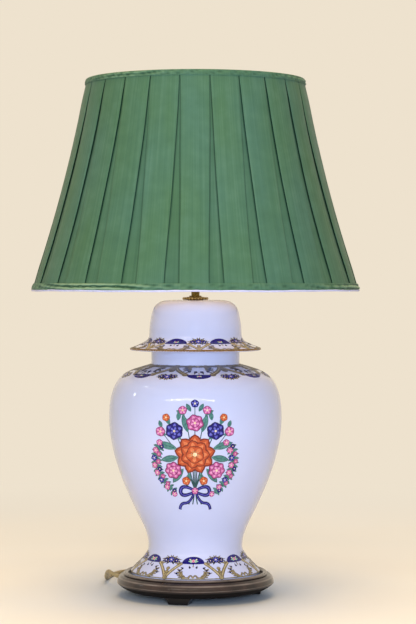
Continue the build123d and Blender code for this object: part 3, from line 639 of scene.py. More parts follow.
WORN_BY = {
    Finish.PORCELAIN: ["porcelain_jar", "porcelain_lid"],
    Finish.WOOD: ["wooden_stand", "stand_foot_1", "stand_foot_2", "stand_foot_3"],
    Finish.BRASS: [
        "vase_cap", "stem_tube", "lampholder_cap", "lampholder_barrel", "lampholder_skirt", "bulb_cap",
        "shade_ring", "shade_carrier", "plug_pins", "contact_plungers",
    ],
    Finish.STEEL: ["threaded_rod", "base_washer", "base_nut"],
    Finish.RUBBER: ["lid_washer", "strain_relief"],
    Finish.WHITE_PLASTIC: ["terminal_block"],
    Finish.DARK_PLASTIC: ["switch_bar", "bulb_contacts"],
    Finish.PLUG: ["plug_body", "plug_fuse_cover"],
    Finish.OPAL: ["bulb_glass"],
    Finish.WIRE: ["shade_frame", "shade_fitter"],
    Finish.FLEX: ["inner_flex"],
}


def dress_packed(nodes: Mapping[str, Piece], palette: Palette) -> None:
    """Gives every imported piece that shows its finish.

    Args:
        nodes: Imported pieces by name.
        palette: Materials.
    """
    for finish, names in WORN_BY.items():
        for name in names:
            for slot in nodes[name].material_slots:
                slot.material = palette.material(finish)
            log.info("%s wears %s", name, finish.value.name)


# Pieces

def add_object(name: str, data: bpy.types.ID) -> Piece:
    """Puts data in the scene as a new object at the origin.

    Args:
        name: Name of the object.
        data: Mesh, curve, light or camera.

    Returns:
        The new object.
    """
    holder = bpy.data.objects.new(name, data)
    bpy.context.scene.collection.objects.link(holder)
    return holder


def show_piece(name: str, data: bpy.types.ID, body: str, material: Material | None = None,
               stands_for: tuple[str, ...] = ()) -> Piece:
    """Puts a finished mesh or curve in the scene as a piece that rides on a body.

    Args:
        name: Name of the piece.
        data: Finished mesh or curve in metres, in the lamp's frame.
        body: Body that carries the piece.
        material: Material, unless the data has its own.
        stands_for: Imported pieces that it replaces.

    Returns:
        The new object.
    """
    if material is not None:
        data.materials.append(material)
    piece = add_object(name, data)
    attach(piece, body)
    if stands_for:
        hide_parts(*stands_for)
    log.info("%s rides on %s", name, body)
    return piece


def smooth(mesh: Mesh, crease: float) -> None:
    """Shades a mesh smooth, apart from the edges above an angle in degrees."""
    mesh.shade_smooth()
    mesh.set_sharp_from_angle(angle=math.radians(crease))


def mark_fold_shading(mesh: Mesh, folds: list[float]) -> None:
    """Keeps the painted shading of each corner for the cloth's shader: from -1 for a full painted highlight
    on a ridge to 1 for full painted shade in a fold.
    """
    mesh.attributes.new(FOLD_SHADE_AND_HIGHLIGHT, "FLOAT", "POINT").data.foreach_set("value", folds)


def closed_mesh(name: str, points: list[Vector | Point3], faces: list[Face],
                crease: float = 40.0) -> Mesh:
    """Mesh of closed shells with its faces turned outwards.

    Args:
        name: Name of the mesh.
        points: Corners in metres.
        faces: Corner numbers of each face.
        crease: Angle in degrees above which an edge stays sharp.

    Returns:
        The mesh, shaded smooth.
    """
    mesh = bpy.data.meshes.new(name)
    mesh.from_pydata(points, [], faces)
    work = bmesh.new()
    work.from_mesh(mesh)
    bmesh.ops.recalc_face_normals(work, faces=work.faces)
    work.to_mesh(mesh)
    work.free()
    smooth(mesh, crease)
    return mesh


def ring_mesh(name: str, section: Callable[[float], list[Point3]], steps: int, crease: float = 40.0) -> Mesh:
    """Closed ring about the axis whose section may change round it.

    Args:
        name: Name of the mesh.
        section: Function of an angle that gives the section's corners, as radius and height in millimetres
            and the painted shading of a fold.
        steps: Steps round the axis.
        crease: Angle in degrees above which an edge stays sharp.

    Returns:
        The mesh.
    """
    corners = len(section(0.0))
    points = []
    faces = []
    folds = []
    for step in range(steps):
        angle = TURN * step / steps
        for radius, height, fold in section(angle):
            points.append((radius * MM * math.cos(angle), radius * MM * math.sin(angle), height * MM))
            folds.append(fold)
        first = step * corners
        second = (step + 1) % steps * corners
        for corner in range(corners):
            after = (corner + 1) % corners
            faces.append((first + corner, second + corner, second + after, first + after))
    mesh = closed_mesh(name, points, faces, crease)
    mark_fold_shading(mesh, folds)
    return mesh


def settle(piece: Piece) -> Mesh:
    """Applies the modifiers of a piece and removes it.

    Args:
        piece: Object with its modifiers.

    Returns:
        A plain mesh of the result.
    """
    graph = bpy.context.evaluated_depsgraph_get()
    mesh = bpy.data.meshes.new_from_object(piece.evaluated_get(graph))
    bpy.data.objects.remove(piece)
    return mesh


def join_meshes(name: str, meshes: list[Mesh]) -> Mesh:
    """Joins meshes of one material each.

    Args:
        name: Name of the result.
        meshes: Meshes to join.

    Returns:
        One mesh with all their materials.
    """
    work = bmesh.new()
    joined = bpy.data.meshes.new(name)
    for number, mesh in enumerate(meshes):
        for polygon in mesh.polygons:
            polygon.material_index = number
        work.from_mesh(mesh)
        joined.materials.append(mesh.materials[0])
    work.to_mesh(joined)
    work.free()
    return joined


class RoundRepeat:
    """Geometry Nodes tree that repeats a mesh evenly about the lamp's axis."""

    ripple_rates = (26.0, 5.0)
    sway_rates = (7.0, 4.0)
    end_hold = 0.4

    def __init__(self) -> None:
        """Builds the tree, with its count, merging distance, ripples and material as inputs."""
        sizes = dict.fromkeys(("Merge", "Ripple", "Sway", "Low", "High"), "Float")
        inputs = {"Geometry": "Geometry", "Count": "Int", **sizes, "Material": "Material"}
        self.group = Group("round_repeat", "GeometryNodeTree", inputs, {"Geometry": "Geometry"})
        group = self.group
        taken = group.inside
        points = group.add("GeometryNodePoints", {"Count": taken["Count"]}).outputs[0]
        step = group.math("DIVIDE", TURN, taken["Count"])
        angle = group.math("MULTIPLY", group.add("GeometryNodeInputIndex").outputs[0], step)
        turn = group.add("ShaderNodeCombineXYZ", {"Z": angle}).outputs[0]
        rotation = group.add("FunctionNodeEulerToRotation", {0: turn}).outputs[0]
        part = {"Points": points, "Instance": taken["Geometry"], "Rotation": rotation}
        copies = group.add("GeometryNodeInstanceOnPoints", part).outputs[0]
        result = group.add("GeometryNodeRealizeInstances", {0: copies}).outputs[0]
        for kind, extra in (
            ("GeometryNodeMergeByDistance", {"Distance": taken["Merge"]}),
            ("GeometryNodeSetPosition", {"Offset": self._offset()}),
            ("GeometryNodeSetMaterial", {"Material": taken["Material"]}),
        ):
            result = group.add(kind, {"Geometry": result, **extra}).outputs[0]
        group.deliver(Geometry=result)

    def _offset(self) -> Socket:
        """Ripple out from the axis and sway round it, still at the two ends of the height range.

        Returns:
            Move of each point.
        """
        group = self.group
        taken = group.inside
        place = group.add("GeometryNodeInputPosition").outputs[0]
        rise = group.span(group.height(place), 0.0, math.pi, taken["Low"], taken["High"])
        free = group.math("POWER", group.math("MAXIMUM", group.math("SINE", rise), 0.0), self.end_hold)
        flat = group.outward(place)
        across = group.vector("CROSS_PRODUCT", (0, 0, 1), flat)
        moves = []
        ways = ((flat, self.ripple_rates, "Ripple"), (across, self.sway_rates, "Sway"))
        for direction, rates, size in ways:
            drift = group.math("SUBTRACT", group.round_noise(place, *rates, 1.0), 0.5)
            amount = group.math("MULTIPLY", group.math("MULTIPLY", drift, free), taken[size])
            moves.append(group.scale(direction, amount))
        return group.vector("ADD", *moves)

    def apply(self, mesh: Mesh, count: int, material: Material, **sizes: float) -> Mesh:
        """Repeats a mesh about the axis.

        Args:
            mesh: One repeat in its first place.
            count: Number of repeats.
            material: Material of the result.
            **sizes: Other inputs of the tree, by name, in metres.

        Returns:
            A plain mesh of all the repeats.
        """
        piece = add_object(mesh.name, mesh)
        modifier = piece.modifiers.new("repeat", "NODES")
        modifier.node_group = self.group.tree
        values = {"Count": count, "Material": material, "Merge": 0.0, "Ripple": 0.0, "Sway": 0.0} | sizes
        for name, value in values.items():
            modifier[self.group.identifier(name)] = value
        return settle(piece)


# Painted porcelain

@dataclass
class TurnedSurface:
    """Outside of a turned piece, as a path of radius and height in millimetres."""

    path: list[Point2]
    side: float = 1.0
    lengths: list[float] = field(default_factory=list)

    trace_step = 0.3
    ray_start = 1.0

    def __post_init__(self) -> None:
        """Measures the way along the path."""
        self.lengths = [0.0]
        for before, after in zip(self.path, self.path[1:]):
            self.lengths.append(self.lengths[-1] + math.dist(before, after))

    @classmethod
    def trace(cls, piece: Piece, low: float, high: float, downward: bool = False) -> "TurnedSurface":
        """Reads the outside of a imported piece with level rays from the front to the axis.

        Args:
            piece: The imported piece.
            low: Lowest height in millimetres.
            high: Highest height in millimetres.
            downward: Whether the path runs down instead of up.

        Returns:
            The outside between the two heights.
        """
        corners = [corner.co for corner in piece.data.vertices]
        tree = BVHTree.FromPolygons(corners, [face.vertices for face in piece.data.polygons])
        path = []
        for height in evenly(low, high, max(int((high - low) / cls.trace_step), 2)):
            hit = tree.ray_cast(Vector((0, -cls.ray_start, height * MM)), Vector((0, 1, 0)))[0]
            if hit is not None:
                path.append((-hit.y / MM, height))
        return cls(path[::-1], -1.0) if downward else cls(path)

    def _index(self, marks: list[float], value: float) -> int:
        """Number of the stretch of the path that a value falls in."""
        return min(max(bisect_right(marks, value) - 1, 0), len(self.path) - 2)

    def place(self, angle: float, along: float, lift: float) -> Vector:
        """Finds a point on the surface or over it.

        Args:
            angle: Direction from the axis.
            along: Way along the path.
            lift: Height over the surface.

        Returns:
            The point in metres.
        """
        index = self._index(self.lengths, along)
        (radius, height), (next_radius, next_height) = self.path[index], self.path[index + 1]
        length = self.lengths[index + 1] - self.lengths[index]
        share = (along - self.lengths[index]) / length
        out = (next_height - height) / length * self.side
        up = (radius - next_radius) / length * self.side
        reach = radius + (next_radius - radius) * share + out * lift
        level = height + (next_height - height) * share + up * lift
        return Vector((reach * math.cos(angle), reach * math.sin(angle), level)) * MM

    def radius_at(self, height: float) -> float:
        """Finds the radius at a height, carried on straight past the ends of a rising path.

        Args:
            height: Height in millimetres.

        Returns:
            The radius in millimetres.
        """
        index = self._index([level for _, level in self.path], height)
        (radius, level), (next_radius, next_level) = self.path[index], self.path[index + 1]
        return radius + (next_radius - radius) * (height - level) / (next_level - level)


def bend(start: Point2, middle: Point2, end: Point2, steps: int = 12) -> list[Point2]:
    """Smooth curve that is drawn towards a middle point.

    Args:
        start: First point.
        middle: Point that draws the curve.
        end: Last point.
        steps: Steps along the curve.

    Returns:
        Points on the curve.
    """
    line = []
    for share in evenly(0.0, 1.0, steps):
        weights = ((1 - share) ** 2, 2 * share * (1 - share), share ** 2)
        line.append(tuple(sum(w * p[axis] for w, p in zip(weights, (start, middle, end))) for axis in (0, 1)))
    return line


def turned_points(points: list[Point2], x: float, y: float, angle: float) -> list[Point2]:
    """Turns points and moves them to a place.

    Args:
        points: Points about the origin.
        x: Place across.
        y: Place along.
        angle: Turn in degrees.

    Returns:
        The moved points.
    """
    cosine = math.cos(math.radians(angle))
    sine = math.sin(math.radians(angle))
    return [(x + px * cosine - py * sine, y + px * sine + py * cosine) for px, py in points]


@dataclass
class Shape:
    """One painted patch: corners, faces, the numbers round its rim, and its height over the glaze."""

    corners: list[Point2]
    faces: list[Face]
    rim: list[int]
    lift: float


class Canvas:
    """Painted shapes in millimetres across and along a surface, kept by colour."""

    first_lift = 0.22
    layer_lift = 0.03
    sunk = 0.25
    dot_corners = 12
    leaf_steps = 8
    broad_leaf = 9.0
    lit_flower = 3.5
    leaf_edge = 1.0
    stroke_edge = 1.1

    def __init__(self) -> None:
        """Starts with nothing painted."""
        self.shapes: dict[Paint, list[Shape]] = {}

    def _keep(self, paint: Paint, corners: list[Point2], faces: list[Face], rim: list[int],
              layer: int) -> None:
        """Keeps one shape under its colour."""
        lift = self.first_lift + self.layer_lift * layer
        self.shapes.setdefault(paint, []).append(Shape(corners, faces, rim, lift))

    def area(self, paint: Paint, outline: list[Point2], layer: int = 0, rings: int = 1) -> None:
        """Fills an outline from its middle.

        Args:
            paint: Colour.
            outline: Corners of the outline, all in sight of its middle.
            layer: Order of the coats, 0 lowest.
            rings: Rings of faces between the middle and the outline.
        """
        count = len(outline)
        x_mid = sum(x for x, _ in outline) / count
        y_mid = sum(y for _, y in outline) / count
        corners = [(x_mid, y_mid)]
        faces = []
        for ring in range(1, rings + 1):
            share = ring / rings
            corners += [(x_mid + (x - x_mid) * share, y_mid + (y - y_mid) * share) for x, y in outline]
            outer = 1 + (ring - 1) * count
            inner = outer - count
            for index in range(count):
                after = (index + 1) % count
                if ring == 1:
                    faces.append((0, outer + index, outer + after))
                else:
                    faces.append((inner + index, outer + index, outer + after, inner + after))
        self._keep(paint, corners, faces, list(range(outer, outer + count)), layer)

    def stroke(self, paint: Paint, line: list[Point2], start: float, end: float, layer: int = 0,
               swell: float = 0.0) -> None:
        """Draws a brush stroke along a line.

        Args:
            paint: Colour.
            line: Points of the line.
            start: Width at its start.
            end: Width at its end.
            layer: Order of the coats, 0 lowest.
            swell: Extra width half way.
        """
        left = []
        right = []
        count = len(line)
        last = count - 1
        for index, (x, y) in enumerate(line):
            before = line[max(index - 1, 0)]
            after = line[min(index + 1, last)]
            length = math.dist(before, after)
            across = ((before[1] - after[1]) / length, (after[0] - before[0]) / length)
            share = index / last
            half = (start + (end - start) * share + swell * math.sin(math.pi * share)) / 2
            left.append((x + across[0] * half, y + across[1] * half))
            right.append((x - across[0] * half, y - across[1] * half))
        faces = [(index, index + count, index + count + 1, index + 1) for index in range(last)]
        rim = list(range(count)) + list(range(2 * count - 1, count - 1, -1))
        self._keep(paint, left + right, faces, rim, layer)

    def dot(self, paint: Paint, x: float, y: float, radius: float, layer: int = 0) -> None:
        """Paints a round dot."""
        self.area(paint, circle(self.dot_corners, radius, x, y), layer)

    def leaf(self, paint: Paint, x: float, y: float, angle: float, length: float, width: float,
             layer: int = 0, fullness: float = 1.0) -> None:
        """Paints a leaf or petal that grows from a point.

        Args:
            paint: Colour.
            x: Place of its foot across the surface.
            y: Place of its foot along the surface.
            angle: Direction in degrees, 0 straight along the surface.
            length: Length.
            width: Greatest width.
            layer: Order of the coats, 0 lowest.
            fullness: Above 1 the widest place moves to the tip, as on a petal.
        """
        side = []
        for share in evenly(0.0, 1.0, self.leaf_steps)[1:-1]:
            side.append((width / 2 * math.sin(math.pi * share ** fullness) ** 0.8, length * share))
        outline = [(0.0, 0.0)] + side + [(0.0, length)] + [(-px, py) for px, py in reversed(side)]
        rings = 1 if max(length, width) < self.broad_leaf else 2
        self.area(paint, turned_points(outline, x, y, angle), layer, rings)

    def flower(self, bloom: Bloom, x: float, y: float, radius: float, petals: int = 5, layer: int = 0,
               turn: float = 0.0) -> None:
        """Paints a round flower with outlined petals, a light on each and a heart.

        Args:
            bloom: Kind of flower.
            x: Place across the surface.
            y: Place along the surface.
            radius: Radius to the petals' tips.
            petals: Number of petals.
            layer: Order of the lowest coat.
            turn: Direction of the first petal in degrees.
        """
        petal, edge, light, heart = bloom.value
        width = TURN * radius / petals * 0.82
        for index in range(petals):
            angle = turn + 360 / petals * index
            self.leaf(edge, x, y, angle, radius * 1.08, width * 1.18, layer + index % 2, 1.5)
            self.leaf(petal, x, y, angle, radius, width * 0.92, layer + 2 + index % 2, 1.5)
            if radius > self.lit_flower:
                self.leaf(light, x, y, angle, radius * 0.9, width * 0.4, layer + 4, 1.7)
        self.dot(heart, x, y, radius * 0.24, layer + 5)

    def outlined(self, edge: Paint, paint: Paint, x: float, y: float, angle: float, length: float,
                 width: float, layer: int = 0) -> None:
        """Paints a leaf with a darker edge and a midrib.

        Args:
            edge: Colour of the edge and the midrib.
            paint: Colour of the leaf.
            x: Place of its foot across the surface.
            y: Place of its foot along the surface.
            angle: Direction in degrees, 0 straight along the surface.
            length: Length.
            width: Greatest width.
            layer: Order of the lowest coat.
        """
        self.leaf(edge, x, y, angle, length * 1.06, width + self.leaf_edge, layer)
        self.leaf(paint, x, y, angle, length, width, layer + 1)
        rib = turned_points([(0.0, level) for level in evenly(0.0, length, 6)[1:-1]], x, y, angle)
        self.stroke(edge, rib, width * 0.1, 0.2, layer + 2)

    def rimmed(self, edge: Paint, paint: Paint, line: list[Point2], start: float, end: float, layer: int = 0,
               swell: float = 0.0) -> None:
        """Draws a brush stroke with a darker edge.

        Args:
            edge: Colour of the edge.
            paint: Colour of the stroke.
            line: Points of the line.
            start: Width at its start.
            end: Width at its end.
            layer: Order of the lowest coat.
            swell: Extra width half way.
        """
        self.stroke(edge, line, start + self.stroke_edge, end + self.stroke_edge, layer, swell)
        self.stroke(paint, line, start, end, layer + 1, swell)

    def shift(self, along: float) -> None:
        """Moves all that is painted along the surface."""
        for shape in (shape for shapes in self.shapes.values() for shape in shapes):
            shape.corners = [(x, y + along) for x, y in shape.corners]

    def meshes(self, name: str, surface: TurnedSurface, angle: float, radius: float,
               palette: Palette) -> list[Mesh]:
        """Lays the shapes on a surface as thin closed coats.

        Args:
            name: First part of the meshes' names.
            surface: Surface that carries the paint.
            angle: Direction of the canvas's middle.
            radius: Radius at which a millimetre across is a millimetre.
            palette: Materials.

        Returns:
            One mesh for each colour, with its material.
        """
        done = []
        for paint, shapes in self.shapes.items():
            points = []
            faces = []
            for shape in shapes:
                first = len(points)
                count = len(shape.corners)
                for lift in (shape.lift, -self.sunk):
                    points += [surface.place(angle + x / radius, y, lift) for x, y in shape.corners]
                for face in shape.faces:
                    faces.append(tuple(first + corner for corner in face))
                    faces.append(tuple(first + count + corner for corner in reversed(face)))
                for one, two in zip(shape.rim, shape.rim[1:] + shape.rim[:1]):
                    faces.append((first + one, first + count + one, first + count + two, first + two))
            mesh = closed_mesh(name + "_" + paint.name.lower(), points, faces)
            mesh.materials.append(palette.material(paint))
            done.append(mesh)
        return done


@dataclass
class BorderArt:
    """Painted border of domes, straps, sprays and dots, repeated round the porcelain.

    Millimetres, with levels as shares of the band's height.
    """

    name: str
    node: str
    low: float
    high: float
    first_angle: float
    band: float
    dome_base: float
    dome_width: float
    radius: float
    downward: bool = False
    start: float = 0.0
    weight: float = 1.0
    edge: Paint = Paint.GILT
    edge_lines: tuple[float, ...] = (0.5,)
    edge_width: float = 1.3
    strap: Paint = Paint.GILT
    floret: float = 1.0
    fringe: int = 0
    fringe_tips: Point2 = (6.0, 9.0)
    repeats: int = 7

    def draw(self) -> Canvas:
        """Draws one repeat, with the dome in its middle and the spray at its right-hand end.

        Returns:
            The painted repeat.
        """
        canvas = Canvas()
        half = math.pi / self.repeats * self.radius
        wide = self.dome_width / 2
        self._dome(canvas, wide)
        self._straps(canvas, wide, half)
        self._post(canvas, half)
        self._spray(canvas, half)
        self._ground(canvas, wide)
        self._plumes(canvas, wide)
        for level in self.edge_lines:
            line = [(x, self.start + level) for x in evenly(-half, half, 24)]
            canvas.stroke(self.edge, line, self.edge_width, self.edge_width)
        for index in range(self.fringe):
            x = half * (2 * (index + 0.5) / self.fringe - 1)
            tip = self.start + self.fringe_tips[index % 2]
            canvas.stroke(self.edge, bend((x, self.start), (x + 0.6, tip / 2), (x - 0.6, tip), 4), 2.6, 0.4)
        return canvas

    def at(self, share: float) -> float:
        """Way along the surface at a share of the band's height."""
        return self.start + self.band * share

    def _dome(self, canvas: Canvas, wide: float) -> None:
        """Cobalt dome with a floret.

        Args:
            canvas: Canvas to paint on.
            wide: Half the dome's width.
        """
        base = self.at(self.dome_base)
        rise = self.at(1.0) - base
        arch = [
            (wide * math.cos(angle), base + rise * abs(math.sin(angle)) ** 0.85)
            for angle in evenly(0.0, math.pi, 20)
        ]
        foot = [
            (x, base - rise * 0.06 * math.sin(math.pi * (x + wide) / (2 * wide)))
            for x in evenly(-wide, wide, 8)[1:-1]
        ]
        canvas.area(Paint.COBALT, arch + foot, 2, 4)
        heart = base + rise * 0.4
        size = rise / 11 * self.floret
        for side in SIDES:
            for angle, length in ((62, 5.4), (98, 6.2), (132, 4.4)):
                canvas.leaf(Paint.SAGE, side * size, heart, -side * angle, length * size, 2.2 * size, 3)
            canvas.dot(Paint.CREAM, side * 4.6 * size, heart + 2.4 * size, 0.9 * size, 4)
        canvas.dot(Paint.BLUSH, 0.0, heart, 2.3 * size, 4)
        canvas.dot(Paint.CORAL, 0.0, heart, 1.0 * size, 5)

    def _straps(self, canvas: Canvas, wide: float, half: float) -> None:
        """Straps from the dome's corners to a point between the domes.

        Args:
            canvas: Canvas to paint on.
            wide: Half the dome's width.
            half: Half the repeat's width.
        """
        top = self.at(self.dome_base)
        for side in SIDES:
            corner = (side * wide * 0.98, top + 0.4)
            pull = (side * (wide + (half - wide) * 0.6), self.at(self.dome_base * 0.72))
            line = bend(corner, pull, (side * half, self.at(0.06)), 10)
            canvas.rimmed(Paint.UMBER, self.strap, line, 2.9 * self.weight, 3.2 * self.weight, 0)
            canvas.stroke(Paint.CREAM, line, 0.5, 0.6, 3)
            hook = bend(corner, (side * (wide + 6.6), top + 2.6), (side * (wide + 5.4), top - 2.8), 7)
            canvas.rimmed(Paint.UMBER, self.strap, hook, 1.9 * self.weight, 0.9 * self.weight, 1)

    def _post(self, canvas: Canvas, half: float) -> None:
        """Turned post that stands where two straps meet.

        Args:
            canvas: Canvas to paint on.
            half: Half the repeat's width.
        """
        line = [(half, self.at(level)) for level in evenly(0.05, 0.47, 6)]
        canvas.rimmed(Paint.UMBER, self.strap, line, 2.2 * self.weight, 1.4 * self.weight, 2)
        for level, radius in ((0.05, 2.5), (0.2, 1.5), (0.31, 1.9), (0.47, 2.1)):
            canvas.dot(Paint.UMBER, half, self.at(level), (radius + 0.5) * self.weight, 3)
            canvas.dot(self.strap, half, self.at(level), radius * self.weight, 4)

    def _spray(self, canvas: Canvas, half: float) -> None:
        """Blue flowers among dark and gilt leaves, between two domes.

        Args:
            canvas: Canvas to paint on.
            half: Half the repeat's width.
        """
        level = self.at((self.dome_base + 1.0) / 2)
        width = 1.5 * self.weight ** 0.4
        for side in SIDES:
            for angle, length, paint in (
                (14, 7.6, Paint.GILT), (34, 6.4, Paint.UMBER), (54, 10.6, Paint.GILT),
                (70, 11.0, Paint.NAVY), (84, 15.2, Paint.GILT), (98, 12.6, Paint.UMBER),
                (114, 13.0, Paint.GILT), (138, 8.4, Paint.NAVY),
            ):
                layer = angle // 2 % 2
                canvas.outlined(Paint.UMBER, paint, half, level - 0.6, -side * angle, length, width, layer)
            canvas.flower(Bloom.BLUE, half + side * 8.2, level - 1.0, 3.2, 5, 3)
            for x, y in ((4.4, 3.4), (5.2, -3.2), (11.2, 1.4), (12.6, -2.2)):
                canvas.dot(Paint.NAVY, half + side * x, level + y, 1.1 * self.weight ** 0.5, 3)
                canvas.dot(Paint.CREAM, half + side * (x - 1.3), level + y + 0.9, 0.55, 4)
        canvas.flower(Bloom.BLUE, half, level + 0.2, 4.4, 6, 5)

    def _ground(self, canvas: Canvas, wide: float) -> None:
        """Dots and a pendant under the dome.

        Args:
            canvas: Canvas to paint on.
            wide: Half the dome's width.
        """
        size = 1.4 * self.weight
        for side in SIDES:
            for share, level in ((0.28, 0.53), (0.86, 0.5), (1.06, 0.38), (1.24, 0.25)):
                x = side * share * wide
                y = self.at(level * self.dome_base / 0.71)
                canvas.dot(Paint.NAVY, x, y, size, 5)
                canvas.leaf(Paint.UMBER, x, y, -side * 60 * share, size * 2.6, size * 0.8, 4)
        top = self.at(self.dome_base)
        canvas.stroke(Paint.UMBER, [(0.0, top - step) for step in range(5)], 1.5, 0.5, 1)
        canvas.dot(Paint.GILT, 0.0, top - 4.6, 1.1, 2)

    def _plumes(self, canvas: Canvas, wide: float) -> None:
        """Plumes that curl up on both sides of a small scroll.

        Args:
            canvas: Canvas to paint on.
            wide: Half the dome's width.
        """
        barbs = ((2, 108, 28), (4, 92, 8), (6, 76, -14), (8, 58, -34), (10, 40, -30))
        length = 5.0 * self.weight
        width = 1.5 * self.weight
        for side in SIDES:
            foot = (side * wide * 0.34, self.at(0.04))
            stem = bend(foot, (side * wide * 0.98, self.at(0.04)), (side * wide * 1.04, self.at(0.36)), 10)
            for index, outward, inward in barbs:
                for angle in (outward, inward):
                    canvas.outlined(Paint.UMBER, self.strap, *stem[index], -side * angle, length, width, 1)
            canvas.rimmed(Paint.UMBER, self.strap, stem, 2.2 * self.weight, 0.8 * self.weight, 3)
            curl = bend(foot, (side * wide * 0.16, self.at(0.26)), (side * wide * 0.04, self.at(0.08)), 8)
            canvas.rimmed(Paint.UMBER, self.strap, curl, 1.2 * self.weight, 0.6, 2)
        canvas.dot(Paint.GILT, 0.0, self.at(0.08), 1.5 * self.weight, 4)

    def build(self, nodes: Mapping[str, Piece], repeat: RoundRepeat, palette: Palette) -> None:
        """Paints the border on its piece.

        Args:
            nodes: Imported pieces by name.
            repeat: Tree that repeats one part round the axis.
            palette: Materials.
        """
        surface = TurnedSurface.trace(nodes[self.node], self.low, self.high, self.downward)
        angle = FRONT + math.radians(self.first_angle)
        units = self.draw().meshes(self.name, surface, angle, self.radius, palette)
        rings = [repeat.apply(unit, self.repeats, unit.materials[0]) for unit in units]
        show_piece(self.name, join_meshes(self.name, rings), "lamp")


BORDERS = (
    # On the shoulder, seven umber edge lines at the neck root make a wide dark band: part a painted line,
    # part painted shadow where the neck meets the shoulder.
    BorderArt(
        "shoulder_border", "porcelain_jar", low=294.0, high=323.6, first_angle=3.3, band=43.5, dome_base=0.79,
        dome_width=33.0, radius=96.0, downward=True, weight=2.0, edge=Paint.UMBER,
        edge_lines=(0.4, 1.4, 2.4, 3.4, 4.4, 5.4, 6.4), strap=Paint.TARNISH, floret=0.62, fringe=13,
    ),
    BorderArt(
        "foot_border", "porcelain_jar", low=30.7, high=78.0, first_angle=-2.0, band=36.6, dome_base=0.7,
        dome_width=31.0, radius=72.0, start=4.2,
    ),
    BorderArt(
        "lid_border", "porcelain_lid", low=343.5, high=375.0, first_angle=29.5, band=30.5, dome_base=0.65,
        dome_width=32.0, radius=70.0, start=3.0, weight=0.95, edge=Paint.BRONZE, edge_lines=(0.3, -0.6, -1.5),
        floret=0.62,
    ),
)


